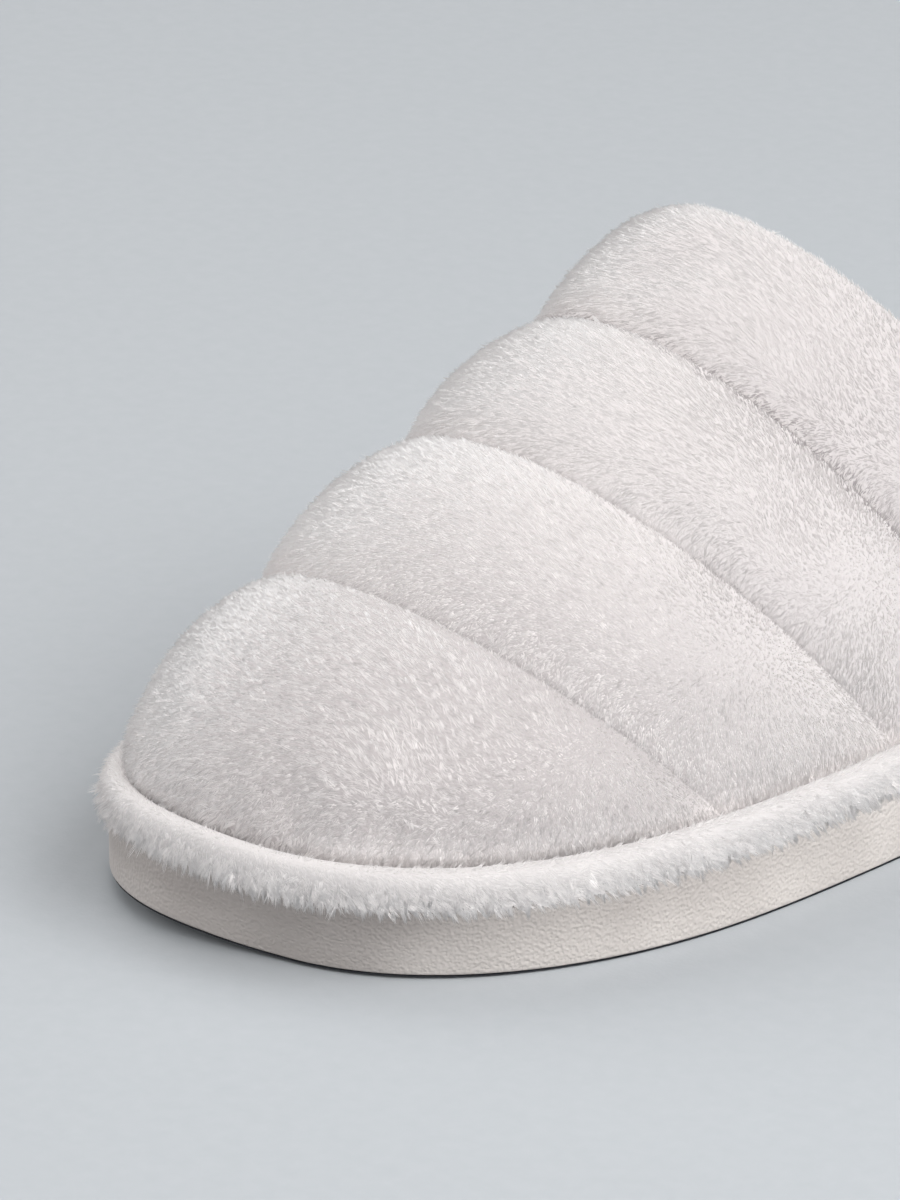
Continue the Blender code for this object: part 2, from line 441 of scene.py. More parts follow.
@dataclass(frozen=True)
class PlushFinish:
    """Velvety pile and the backing that it grows from."""

    name: str
    pale: Colour
    deep: Colour
    roughness: float = 0.85
    specular: float = 0.2
    backing_roughness: float = 0.95
    backing_specular: float = 0.1
    weave: float = 0.5
    weave_depth: float = 0.15
    sheen: float = 0.8
    sheen_roughness: float = 0.45

    def toned(self, name: str) -> NodeSketch:
        """A material that runs from deep to pale by the tone of the mesh's points."""
        sketch = NodeSketch(name)
        sketch.tones(self.deep, self.pale)
        sketch.settle(Sheen_Weight=self.sheen, Sheen_Roughness=self.sheen_roughness)
        return sketch

    def pile(self) -> bpy.types.Material:
        """The material of the hairs."""
        sketch = self.toned(f"{self.name}_pile")
        sketch.settle(Roughness=self.roughness, Specular_IOR_Level=self.specular)
        return sketch.material

    def backing(self) -> bpy.types.Material:
        """The material of the cloth between the hairs."""
        sketch = self.toned(f"{self.name}_backing")
        sketch.bump((sketch.noise(self.weave), self.weave_depth))
        sketch.settle(Roughness=self.backing_roughness, Specular_IOR_Level=self.backing_specular)
        return sketch.material


@dataclass(frozen=True)
class LeatherFinish:
    """Pale synthetic leather with a fine pebbled grain."""

    name: str
    pale: Colour
    deep: Colour
    grain: float = 0.5
    grain_depth: float = 0.19
    swell: float = 6.0
    swell_depth: float = 0.05
    gloss_size: float = 2.5
    gloss_detail: float = 3.0
    glossy: float = 0.42
    dull: float = 0.56
    specular: float = 0.45
    coat: float = 0.06
    coat_roughness: float = 0.4

    def material(self) -> bpy.types.Material:
        """The leather's material."""
        sketch = NodeSketch(self.name)
        pebbles = sketch.add("ShaderNodeTexVoronoi", Scale=1.0 / (self.grain * MM))
        pebbles.feature = "SMOOTH_F1"
        sketch.on_object(pebbles)
        sketch.tones(self.deep, self.pale)
        sketch.shine(sketch.noise(self.gloss_size, self.gloss_detail), self.glossy, self.dull)
        swell = (sketch.noise(self.swell), self.swell_depth)
        sketch.bump(swell, (pebbles.outputs["Distance"], self.grain_depth))
        sketch.settle(
            Specular_IOR_Level=self.specular,
            Coat_Weight=self.coat,
            Coat_Roughness=self.coat_roughness,
        )
        return sketch.material


@dataclass(frozen=True)
class RubberFinish:
    """Dark rubber sheet with a fine ribbed tread."""

    name: str
    dark: Colour
    worn: Colour
    rib: float = 3.2
    rib_depth: float = 0.4
    waves_per_unit: float = 3.2
    wear: float = 9.0
    wear_detail: float = 5.0
    wear_start: float = 0.35
    wear_end: float = 0.75
    gloss_size: float = 3.0
    gloss_detail: float = 3.0
    glossy: float = 0.55
    dull: float = 0.75
    grit: float = 0.6
    grit_depth: float = 0.05

    def material(self) -> bpy.types.Material:
        """The rubber's material."""
        sketch = NodeSketch(self.name)
        scale = 1.0 / (self.rib * MM * self.waves_per_unit)
        ribs = sketch.add("ShaderNodeTexWave", Scale=scale, Distortion=0.0)
        ribs.bands_direction = "Y"
        sketch.on_object(ribs)
        wear = sketch.noise(self.wear, self.wear_detail)
        sketch.ramp(wear, self.dark, self.worn, self.wear_start, self.wear_end)
        sketch.shine(sketch.noise(self.gloss_size, self.gloss_detail), self.glossy, self.dull)
        sketch.bump((ribs.outputs["Fac"], self.rib_depth), (sketch.noise(self.grit), self.grit_depth))
        return sketch.material


@dataclass(frozen=True)
class FloorFinish:
    """Plain pale studio floor."""

    name: str
    pale: Colour
    deep: Colour
    mottle: float = 3.0
    mottle_detail: float = 4.0
    mottle_start: float = 0.2
    mottle_end: float = 0.8
    grit: float = 0.8
    grit_depth: float = 0.03
    roughness: float = 0.9
    specular: float = 0.2

    def material(self) -> bpy.types.Material:
        """The floor's material."""
        sketch = NodeSketch(self.name)
        mottle = sketch.noise(self.mottle, self.mottle_detail)
        sketch.ramp(mottle, self.deep, self.pale, self.mottle_start, self.mottle_end)
        sketch.bump((sketch.noise(self.grit), self.grit_depth))
        sketch.settle(Roughness=self.roughness, Specular_IOR_Level=self.specular)
        return sketch.material


QUILT_FINISH = PlushFinish("upper_plush", pale=(0.97, 0.92, 0.905), deep=(0.38, 0.345, 0.345))
ROLL_FINISH = PlushFinish("rand_plush", pale=(0.98, 0.94, 0.925), deep=(0.56, 0.53, 0.525), sheen=0.4)
FOOTBED_FINISH = PlushFinish("footbed_plush", pale=(0.82, 0.79, 0.785), deep=(0.58, 0.55, 0.55))
LEATHER_FINISH = LeatherFinish("wall_leather", pale=(0.68, 0.63, 0.594), deep=(0.34, 0.305, 0.287))
RUBBER_FINISH = RubberFinish("outsole_rubber", dark=(0.012, 0.014, 0.02), worn=(0.03, 0.032, 0.04))
FLOOR_FINISH = FloorFinish("studio_floor", pale=(0.455, 0.475, 0.496), deep=(0.433, 0.455, 0.475))


# Meshes and pile


def read_rows(values: bpy.types.bpy_prop_collection, name: str) -> Array:
    """A vector property of every item, as rows."""
    flat = np.empty(len(values) * 3)
    values.foreach_get(name, flat)
    return flat.reshape(-1, 3)


def grid(columns: int, rows: int) -> tuple[bmesh.types.BMesh, Array]:
    """A flat grid that is one unit wide and long about the origin, and the places of its points."""
    shape = bmesh.new()
    bmesh.ops.create_grid(shape, x_segments=columns, y_segments=rows, size=0.5)
    return shape, np.array([vert.co for vert in shape.verts])


def verts_in(parts: Iterable[BMPart]) -> list[bmesh.types.BMVert]:
    """The points among the parts that an operator made."""
    return [part for part in parts if isinstance(part, bmesh.types.BMVert)]


def move_to(verts: Iterable[bmesh.types.BMVert], points: Array) -> None:
    """Move points of a bmesh to places in metres."""
    for vert, point in zip(verts, points):
        vert.co = point


def place_by_points(part: BMPart, first: int, count: int) -> int:
    """A number that sorts a new part of a bmesh by its points, and leaves one before the first in place."""
    if part.index < first:
        return part.index
    numbers = sorted(vert.index for vert in part.verts)
    return first + (numbers[-1] * count + numbers[-2]) * count + numbers[0]


def settle_order(shape: bmesh.types.BMesh, first_edge: int = 0, first_face: int = 0) -> None:
    """Sort the edges and faces that operators leave in any order, so that each run gives the same mesh.

    Args:
        shape: The bmesh, whose points keep their order.
        first_edge: The edges before this one stay where they are.
        first_face: The faces before this one stay where they are.
    """
    shape.verts.index_update()
    count = len(shape.verts)
    for parts, first in ((shape.edges, first_edge), (shape.faces, first_face)):
        parts.index_update()
        parts.sort(key=lambda part: place_by_points(part, first, count))


def mesh_of(name: str, shape: bmesh.types.BMesh) -> bpy.types.Mesh:
    """A mesh from a bmesh, which is then done with."""
    mesh = bpy.data.meshes.new(name)
    shape.to_mesh(mesh)
    shape.free()
    mesh.shade_smooth()
    return mesh


def set_tones(mesh: bpy.types.Mesh, tones: Array) -> None:
    """Give each point of a mesh its tone, from 0 for deep to 1 for pale."""
    values = np.clip(tones, 0.0, 1.0).astype(np.float32).ravel()
    mesh.attributes.new(TONE, "FLOAT", "POINT").data.foreach_set("value", values)


def put(name: str, mesh: bpy.types.Mesh, material: bpy.types.Material) -> bpy.types.Object:
    """Put a finished mesh in the scene as a piece of the slipper.

    Args:
        name: The piece's name.
        mesh: Its mesh, in place.
        material: Its finish.

    Returns:
        The new object.
    """
    mesh.materials.append(material)
    piece = bpy.data.objects.new(name, mesh)
    bpy.context.scene.collection.objects.link(piece)
    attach(piece, BODY)
    LOG.info("%s: %d faces", name, len(mesh.polygons))
    return piece


def put_pile(mesh: bpy.types.Mesh, material: bpy.types.Material) -> bpy.types.Object:
    """Put a pile in the scene. Its fine hairs let the light through, so they throw no shade on each other."""
    piece = put(mesh.name, mesh, material)
    piece.visible_shadow = False
    piece.visible_diffuse = False
    return piece


@dataclass
class Skin:
    """A surface that pile grows on, with values at its points."""

    points: Array
    normals: Array
    triangles: Array
    values: dict[str, Array] = field(default_factory=dict)

    @classmethod
    def of(cls, mesh: bpy.types.Mesh, **values: Array) -> "Skin":
        """The skin of a mesh, with any values given for each of its vertices."""
        mesh.calc_loop_triangles()
        corners = np.empty(len(mesh.loop_triangles) * 3, dtype=np.int32)
        mesh.loop_triangles.foreach_get("vertices", corners)
        return cls(
            points=read_rows(mesh.vertices, "co"),
            normals=read_rows(mesh.vertex_normals, "vector"),
            triangles=corners.reshape(-1, 3),
            values=values,
        )


@dataclass
class Roots:
    """Where hairs stand: their places, the skin's normals there, and the skin's values there."""

    points: Array
    normals: Array
    values: dict[str, Array]


@dataclass(frozen=True)
class PileStyle:
    """How a pile looks: the size of its hairs, how its tufts lie and how their tones differ."""

    hairs: int
    length: float
    width: float
    lean: float
    stand: float = 18.0
    hair_lean: float = 5.0
    tuft_lean: float = 8.0
    tuft_turn: float = 18.0
    unevenness: float = 0.2
    swirl: float = 8.0
    swirl_size: float = 30.0
    tuft: int = 4
    tuft_pull: float = 0.55
    tone: float = 0.8
    mottle: float = 0.02
    hair_fleck: float = 0.05
    tuft_fleck: float = 0.07
    # The next three paint light and shade into the tones: painted light on hairs that stand high and at the
    # tips, painted shade on hairs lying low and at the roots.
    painted_lift_light: float = 0.2
    root_shade: float = 0.4
    painted_tip_light: float = 0.12
    roundness: float = 0.85
    sink: float = 0.25


@dataclass
class Growth:
    """How each hair of a pile grows.

    The flow is the way that it is brushed, the length a share of the style's, the droop how far its tip
    hangs down as a share of its length, the ruffle how far it stands from 0 to 1, the shade how much painted
    shade darkens it, painted light where below 0, the depth how strongly its tones differ, and the facing the
    direction that light falls on it from, if not the skin's own.
    """

    flow: Array
    length: Array | float = 1.0
    droop: Array | float = 0.0
    ruffle: Array | float = 0.0
    shade: Array | float = 0.0
    depth: Array | float = 1.0
    facing: Array | None = None


class Pile:
    """Hairs of a plush, each a slender three-sided spike, joined into one mesh."""

    ring_turn = np.radians([90.0, 210.0, 330.0])
    steepest_lean = 84.0
    highest_lift = 2.0
    swirl_seed = 1
    mottle_seed = 4
    mottle_size = 16.0
    tuft_spread = 0.25
    pull_range = (0.4, 1.2)
    width_range = (0.7, 1.2)
    map_reach = 0.46

    def __init__(self, style: PileStyle, seed: int) -> None:
        """Start a pile with its own run of random numbers."""
        self.style = style
        self.seed = seed
        self.draw = np.random.default_rng(seed)

    def sow(self, skin: Skin, keep: Array) -> Roots:
        """Pick the places of the hairs.

        Args:
            skin: The surface to grow on.
            keep: How thickly each of its points is grown, from 0 to 1.

        Returns:
            The roots of the hairs.
        """
        count = self.style.hairs
        corners = skin.points[skin.triangles]
        area = np.linalg.norm(np.cross(corners[:, 1] - corners[:, 0], corners[:, 2] - corners[:, 0]), axis=1)
        share = np.cumsum(area * keep[skin.triangles].mean(axis=1))
        picked = skin.triangles[np.searchsorted(share, self.draw.random(count) * share[-1])]
        parts = self.draw.random((count, 2))
        outside = parts.sum(axis=1) > 1.0
        parts[outside] = 1.0 - parts[outside]
        weights = np.column_stack([1.0 - parts.sum(axis=1), parts])

        def mixed(values: Array) -> Array:
            """Values of the skin's points, mixed at the roots."""
            return np.einsum("ij,ij...->i...", weights, values[picked])

        return Roots(
            points=mixed(skin.points),
            normals=unit(mixed(skin.normals)),
            values={name: mixed(value) for name, value in skin.values.items()},
        )

    def leaders(self, roots: Array) -> Array:
        """The number of the hair that leads each hair's tuft: the nearest of a few picked by chance."""
        count = len(roots)
        picked = self.draw.choice(count, max(1, count // self.style.tuft), replace=False)
        tree = kdtree.KDTree(len(picked))
        for number, leader in enumerate(picked):
            tree.insert(roots[leader], number)
        tree.balance()
        return picked[[tree.find(root)[1] for root in roots]]

    def comb(self, roots: Roots, growth: Growth, leaders: Array) -> Array:
        """Turn the flow about each normal by broad swirls and tuft by tuft, and lean the hairs along it.

        Args:
            roots: The roots of the hairs.
            growth: How the hairs grow.
            leaders: The number of the hair that leads each hair's tuft.

        Returns:
            The hairs' directions.
        """
        style = self.style
        count = len(leaders)
        along = unit(growth.flow - rows_dot(growth.flow, roots.normals) * roots.normals)
        side = np.cross(roots.normals, along)
        swirl = style.swirl * SoftNoise(style.swirl_size, self.seed + self.swirl_seed).at(roots.points)
        own_turn = style.tuft_turn * self.draw.normal(size=count)[leaders]
        turn = np.radians(swirl + own_turn * (1.0 + growth.ruffle))[:, None]
        along = along * np.cos(turn) + side * np.sin(turn)
        own_lean = style.tuft_lean * self.draw.normal(size=count)[leaders]
        own_lean += style.hair_lean * self.draw.normal(size=count)
        lean = style.lean - style.stand * growth.ruffle + own_lean
        lean = np.radians(np.clip(lean, 0.0, self.steepest_lean))[:, None]
        return roots.normals * np.cos(lean) + along * np.sin(lean)

    def grow(self, name: str, roots: Roots, growth: Growth) -> bpy.types.Mesh:
        """Make the hairs' mesh, with the tips of each tuft drawn together.

        Args:
            name: The mesh's name.
            roots: The roots of the hairs.
            growth: How the hairs grow.

        Returns:
            The mesh, with a bake map and each hair's tone.
        """
        style = self.style
        count = len(roots.points)
        leaders = self.leaders(roots.points)
        heading = self.comb(roots, growth, leaders)
        reach = style.length * MM * growth.length * np.exp(style.unevenness * self.draw.normal(size=count))
        reach = reach[:, None]
        tips = roots.points + heading * reach
        tips[:, 2:] -= reach * np.reshape(growth.droop, (-1, 1))
        meeting = tips[leaders] + self.tuft_spread * (roots.points - roots.points[leaders])
        tips += (meeting - tips) * style.tuft_pull * self.draw.uniform(*self.pull_range, size=(count, 1))
        axis = unit(tips - roots.points)
        wide = unit(np.cross(axis, roots.normals))
        deep = np.cross(axis, wide)
        half = style.width * MM / 2 * self.draw.uniform(*self.width_range, size=(count, 1))
        stems = roots.points - roots.normals * style.sink * MM
        facing = roots.normals if growth.facing is None else growth.facing
        corners = []
        normals = []
        for turn in self.ring_turn:
            out = wide * math.cos(turn) + deep * math.sin(turn)
            corners.append(stems + out * half)
            normals.append(unit(facing * (1.0 - style.roundness) + out * style.roundness))
        corners.append(tips)
        normals.append(unit(facing * (1.0 - style.roundness) + axis * style.roundness))
        mesh = self.joined(name, np.stack(corners, axis=1), np.stack(normals, axis=1))
        usual = style.length * MM * math.cos(math.radians(style.lean))
        lift = rows_dot(tips - roots.points, roots.normals)[:, 0] / usual
        self.tint(mesh, roots, growth, leaders, lift)
        return mesh

    def joined(self, name: str, corners: Array, normals: Array) -> bpy.types.Mesh:
        """Join all the hairs into one mesh.

        Args:
            name: The mesh's name.
            corners: Each hair's corners, three round its root and then the tip.
            normals: The directions that those corners shade along.

        Returns:
            The mesh.
        """
        count, size = corners.shape[:2]
        pattern = [(side, (side + 1) % 3, size - 1) for side in range(3)]
        faces = np.array(pattern)[None] + (np.arange(count) * size)[:, None, None]
        faces = faces.reshape(-1, 3).astype(np.int32)
        mesh = bpy.data.meshes.new(name)
        mesh.vertices.add(count * size)
        mesh.vertices.foreach_set("co", corners.astype(np.float32).ravel())
        mesh.loops.add(faces.size)
        mesh.loops.foreach_set("vertex_index", faces.ravel())
        mesh.polygons.add(len(faces))
        mesh.polygons.foreach_set("loop_start", np.arange(0, faces.size, 3, dtype=np.int32))
        self.lay_map(mesh, faces, count, size)
        mesh.update(calc_edges=True)
        mesh.normals_split_custom_set_from_vertices(normals.reshape(-1, 3))
        return mesh

    def lay_map(self, mesh: bpy.types.Mesh, faces: Array, count: int, size: int) -> None:
        """Give each hair a cell of its own on the bake map, its tip in the middle.

        Args:
            mesh: The hairs' mesh.
            faces: Its faces.
            count: The number of hairs.
            size: The number of corners of a hair.
        """
        columns = math.ceil(math.sqrt(count))
        number = np.arange(count)
        middle = np.stack([number % columns, number // columns], axis=1) + 0.5
        ring = np.stack([np.cos(self.ring_turn), np.sin(self.ring_turn)], axis=1)
        spots = [middle + self.map_reach * corner for corner in ring]
        spots.append(middle)
        places = np.stack(spots, axis=1).reshape(-1, 2) / columns
        bake_map = mesh.uv_layers.new(name=BAKE_MAP, do_init=False)
        bake_map.uv.foreach_set("vector", places[faces.ravel()].astype(np.float32).ravel())

    def tint(self, mesh: bpy.types.Mesh, roots: Roots, growth: Growth, leaders: Array, lift: Array) -> None:
        """Tone the hairs with painted shade: darker at the root and darker the lower a hair lies among its
        neighbours.

        Args:
            mesh: The hairs' mesh.
            roots: The roots of the hairs.
            growth: How the hairs grow.
            leaders: The number of the hair that leads each hair's tuft.
            lift: Height of each tip over the skin, as a share of the usual one.
        """
        style = self.style
        count = len(leaders)
        own = style.hair_fleck * self.draw.normal(size=count)
        own += style.tuft_fleck * self.draw.normal(size=count)[leaders]
        # Painted shade on hairs whose tips lie low, and painted light on those that stand high.
        own += style.painted_lift_light * (np.clip(lift, 0.0, self.highest_lift) - 1.0)
        patches = SoftNoise(self.mottle_size, self.seed + self.mottle_seed)
        mottle = style.mottle * patches.at(roots.points)
        # The growth's painted shade, then painted shade at the root and painted light at the tip.
        middle = style.tone + mottle - growth.shade + own * growth.depth
        root = middle - style.root_shade * growth.depth
        set_tones(mesh, np.stack([root, root, root, middle + style.painted_tip_light], axis=1))


# Sub-assemblies


@dataclass(frozen=True)
class Crease:
    """A soft trough in the padding, or a ridge where its depth is negative.

    It runs over the upper from one place to another, each a row and a share across, and fades at both ends.
    """

    name: str
    start: tuple[float, float]
    end: tuple[float, float]
    width: float
    depth: float
    steps: int = 60
    fading: float = 0.3

    def press(self, points: Array) -> Array:
        """How far the crease presses the padding in.

        Args:
            points: Places on the last in metres, a row each.

        Returns:
            Depths in millimetres, one a row.
        """
        share = np.linspace(0.0, 1.0, self.steps)
        row = self.start[0] + (self.end[0] - self.start[0]) * share
        across = self.start[1] + (self.end[1] - self.start[1]) * share
        path = LAST.lining_points(row, across)
        gaps = np.linalg.norm(points[:, None] - path[None], axis=2) / MM
        nearest = gaps.argmin(axis=1)
        fade = smoothstep(share / self.fading) * smoothstep((1.0 - share) / self.fading)
        return self.depth * fade[nearest] * np.exp(-((gaps.min(axis=1) / self.width) ** 2))


CREASES = (
    Crease("roll over the feather", start=(0.14, -0.80), end=(0.14, 0.80), width=6.0, depth=-0.5),
    Crease("parting low on the toe", start=(-0.12, 0.33), end=(0.42, 0.20), width=3.2, depth=0.6),
    Crease("dent beside the big toe", start=(-0.08, 0.05), end=(0.30, 0.07), width=3.0, depth=0.4),
    Crease("hollow on the toe's far side", start=(0.30, -0.30), end=(0.62, -0.48), width=5.0, depth=0.6),
    Crease("far side's foot against the roll", start=(0.0, -0.20), end=(0.05, -0.98), width=4.0, depth=-1.0),
    Crease("ridge of the swirl", start=(0.24, 0.30), end=(0.58, 0.46), width=4.0, depth=-0.6),
    Crease("dent under the small toes", start=(-0.06, 0.62), end=(0.38, 0.49), width=3.0, depth=0.6),
    Crease("second channel's hollow", start=(1.60, 0.24), end=(1.82, 0.42), width=4.0, depth=0.5),
    Crease("second channel's ridge", start=(1.78, 0.34), end=(1.92, 0.52), width=3.5, depth=-0.4),
    Crease("second channel's foot", start=(1.06, 0.78), end=(1.48, 0.84), width=5.0, depth=0.6),
    Crease("third channel's ridge", start=(2.05, 0.40), end=(2.90, 0.50), width=4.0, depth=-0.6),
    Crease("third channel's hollow", start=(2.35, 0.54), end=(2.85, 0.58), width=5.0, depth=0.5),
    Crease("dip across the instep", start=(3.12, -0.10), end=(3.85, 0.18), width=4.0, depth=0.8),
    Crease("instep's ridge", start=(3.40, -0.14), end=(3.95, 0.04), width=6.0, depth=-0.5),
    Crease("collar's hollow", start=(3.20, 0.32), end=(3.85, 0.50), width=5.0, depth=0.6),
    Crease("collar's foot", start=(3.12, 0.52), end=(3.55, 0.58), width=5.0, depth=0.6),
    Crease("far side's second dent", start=(1.10, -0.70), end=(1.60, -0.55), width=5.0, depth=0.6),
    Crease("far side's third dent", start=(2.15, -0.75), end=(2.80, -0.62), width=6.0, depth=0.6),
    Crease("far side's collar dent", start=(3.15, -0.60), end=(3.80, -0.45), width=6.0, depth=0.7),
)


@dataclass(frozen=True)
class NapMark:
    """A place where the nap is brushed another way, or painted with shade or light, or both.

    It says by how many degrees the nap turns, how far that reaches and how much painted shade darkens the nap
    there, painted light where below 0.
    """

    name: str
    row: float
    across: float
    reach: float
    turn: float = 0.0
    shade: float = 0.0

    def closeness(self, points: Array) -> Array:
        """How close points in metres are to the mark, from 1 on it down to 0."""
        centre = LAST.lining_points(np.array([self.row]), np.array([self.across]))
        gap = np.linalg.norm(points - centre, axis=1) / MM
        return np.exp(-((gap / self.reach) ** 2))


# A shade above 0 is painted shade and one below 0 painted light; a mark with no turn is only painted.
NAP_MARKS = (
    NapMark("swirl right of the parting", row=0.48, across=0.44, reach=11.0, turn=75.0),
    NapMark("brushed down beside the parting", row=0.20, across=0.18, reach=8.0, turn=-20.0),
    NapMark("second channel's foot", row=1.55, across=0.80, reach=14.0, turn=-25.0),
    NapMark("toe's far foot", row=0.10, across=0.14, reach=8.0, shade=0.3),
    NapMark("toe's dents", row=0.30, across=0.33, reach=6.0, shade=-0.14),
    NapMark("toe's top", row=0.88, across=0.09, reach=9.0, shade=-0.13),
    NapMark("toe's right foot", row=0.82, across=0.82, reach=9.0, shade=-0.18),
    NapMark("second channel's light top", row=1.22, across=0.06, reach=8.0, shade=-0.14),
    NapMark("second channel's light foot", row=1.40, across=0.93, reach=8.0, shade=-0.16),
    NapMark("second channel's brushed side", row=1.66, across=0.62, reach=11.0, turn=15.0, shade=0.20),
    NapMark("third channel's brushed side", row=2.50, across=0.58, reach=13.0, turn=15.0, shade=0.24),
    NapMark("third channel's brushed top", row=2.72, across=0.36, reach=8.0, turn=-12.0, shade=0.16),
    NapMark("collar's brushed side", row=3.35, across=0.54, reach=14.0, turn=15.0, shade=0.22),
    NapMark("collar's light top", row=3.30, across=-0.08, reach=12.0, shade=-0.22),
)


@dataclass
class Upper:
    """The quilted plush vamp: a padded cover over the last, its lining, and the pile on both."""

    seam_wall: float = 2.8
    puff_height: float = 2.6
    puff_roundness: float = 0.6
    puff_edge_power: int = 8
    collar_rim_part: float = 0.25
    collar_puff_turn: float = 0.62
    margin_gap: float = 0.5
    pile_depth: float = 0.8
    feather_pile_depth: float = 0.2
    feather_share: float = 0.12
    columns: int = 104
    channel_rows: int = 24
    pinned_reach: float = 0.03
    swell_frames: int = 16
    swell_limit: float = 1.6
    cloth_quality: int = 5
    cloth_mass: float = 0.002
    cloth_tension: float = 4.0
    cloth_bending: float = 0.02
    cloth_slack: float = 0.05
    cloth_pressure: float = 3000.0
    slack_size: float = 22.0
    top_nap: float = 160.0
    low_nap: float = 100.0
    calm_length: float = 1.3
    depth_shortening: float = 0.3
    ruffle_length: float = 0.25
    ruffle_contrast: float = 0.4
    seam_ruffle: float = 0.8
    seam_ruffle_share: float = 0.3
    toe_ruffle_start: float = 0.1
    toe_ruffle_share: float = 0.5
    side_ruffle: float = 0.5
    side_ruffle_start: float = 0.55
    side_ruffle_share: float = 0.35
    patch_middle: float = 0.8
    patch_swing: float = 0.2
    patch_size: float = 12.0
    rim_trim: float = 0.4
    rim_share: float = 0.2
    seam_trim: float = 0.45
    seam_trim_share: float = 0.07
    seam_waver: float = 0.012
    waver_size: float = 3.5
    # Painted shade in each seam, painted light where below 0, and how far from the seam it reaches as a share
    # of a channel.
    seam_shades: tuple[float, ...] = (-0.06, 0.24, 0.55)
    seam_shade_shares: tuple[float, ...] = (0.03, 0.03, 0.08)
    style: PileStyle = PileStyle(hairs=0, length=1.3, width=0.22, lean=60.0)
    lining_style: PileStyle = PileStyle(hairs=10000, length=2.2, width=0.4, lean=50.0, tuft=7)
    lining_flow: tuple[float, float, float] = (0.0, 0.8, -0.5)
    hairs_per_channel: tuple[int, ...] = (62000, 57000, 52000, 47000)
    far_start: float = -0.05
    far_share: float = 0.3
    far_calm: float = 0.85
    far_ruffle: float = 0.2
    # Painted light on the nap and its backing just above the roll's near side, where the roll throws shade.
    painted_light_by_roll: float = 0.28
    painted_light_height: float = 5.0
    painted_light_start: float = 0.22
    painted_light_share: float = 0.3
    painted_light_backing: float = 0.6
    depth_per_channel: tuple[float, ...] = (1.1, 0.7, 0.5, 0.4)
    # How strongly the tones of each channel's hairs differ: random flecks, and the painted shade at roots and
    # low tips.
    contrasts: tuple[float, ...] = (1.8, 0.9, 0.25, 0.12)
    # Painted shade on each channel's nap, more towards the collar.
    shade_per_channel: tuple[float, ...] = (0.03, 0.06, 0.23, 0.4)
    # Painted shade on each channel's far side, and painted light where below 0.
    far_shades: tuple[float, ...] = (0.26, 0.07, -0.03, -0.05)
    # Backing tones row by row from toe to collar: painted dark, as painted shade between the hairs, most at
    # the toe.
    painted_gap_shade_tones: tuple[float, ...] = (0.15, 0.19, 0.45, 0.42, 0.42)
    # The bare margin, with no pile, keeps a paler tone, free of that painted shade.
    margin_tone: float = 0.8

    def build(self) -> None:
        """Make the shell of cover and lining, and grow the pile."""
        self.sheet()
        self.cover = self.lining + self.lining_normals * (self.thickness * MM)[:, None]
        self.cover += self.padding()
        pressed = sum(crease.press(self.lining) for crease in CREASES)
        self.cover -= self.lining_normals * (pressed * (self.on_margin == 0.0) * MM)[:, None]
        self.close()
        self.plush()

    def row_at(self, part: Array) -> Array:
        """The row at a share of the way from toe to collar, with rows closer together beside the seams."""
        channel, share = LAST.channel_of(part * LAST.channels)
        return channel + 0.5 - 0.5 * np.cos(math.pi * share)

    def puff(self, row: Array, across: Array) -> Array:
        """How full the quilting is: 0 on a seam and at the sole, 1 along the middle of a channel."""
        channel, part = LAST.channel_of(row)
        last = channel == LAST.channels - 1
        turn = np.where(last, part * self.collar_puff_turn, part)
        rim = round_off((part - 1.0 + self.collar_rim_part) / self.collar_rim_part, 2.0)
        along = np.sin(math.pi * np.clip(turn, 0.0, 1.0)).clip(0.0) ** self.puff_roundness
        edge = np.sqrt(1.0 - np.abs(across) ** self.puff_edge_power)
        return along * np.where(last, rim, 1.0) * edge

    def near_feather(self, row: Array, across: Array) -> Array:
        """How near the upper's lower edge a place is: 1 on the edge, 0 a little way up."""
        side = smoothstep((np.abs(across) - 1.0 + self.feather_share) / self.feather_share)
        toe = 1.0 - smoothstep(row / self.feather_share)
        return np.maximum(side, toe)

    def sheet(self) -> None:
        """Lay a fine grid over the last and turn its margin down to the platform."""
        shape, flat = grid(self.columns, self.channel_rows * LAST.channels)
        across = np.clip(2.0 * flat[:, 0], -1.0, 1.0)
        row = self.row_at(np.clip(flat[:, 1] + 0.5, 0.0, 1.0))
        collar = {vert for vert in shape.verts if vert.co.y > 0.5 - MM}
        move_to(shape.verts, LAST.lining_points(row, across))
        feather = [edge for edge in shape.edges if edge.is_boundary and not collar.issuperset(edge.verts)]
        before = (len(shape.edges), len(shape.faces))
        margin = verts_in(bmesh.ops.extrude_edge_only(shape, edges=feather)["geom"])
        for vert in margin:
            vert.co.z = (LAST.platform_top(LAST.station_of(vert.co)) + self.margin_gap) * MM
        settle_order(shape, *before)
        bmesh.ops.recalc_face_normals(shape, faces=shape.faces[:])
        self.on_margin = np.concatenate([np.zeros(len(flat)), np.ones(len(margin))])
        self.row = np.concatenate([row, np.zeros(len(margin))])
        self.across = np.concatenate([across, np.ones(len(margin))])
        self.flat_mesh = mesh_of("upper_sheet", shape)
        self.lining = read_rows(self.flat_mesh.vertices, "co")
        self.lining_normals = read_rows(self.flat_mesh.vertex_normals, "vector")
        swell = np.where(self.on_margin > 0.0, 0.0, self.puff(self.row, self.across))
        thinning = (self.pile_depth - self.feather_pile_depth) * self.near_feather(self.row, self.across)
        depth = self.pile_depth - thinning
        self.thickness = self.seam_wall - depth + self.puff_height * swell

    def padding(self) -> Array:
        """How the padding moves the cover: the swelling of cloth held at its seams.

        Returns:
            A move in metres for each point of the cover.
        """
        return self.swollen()

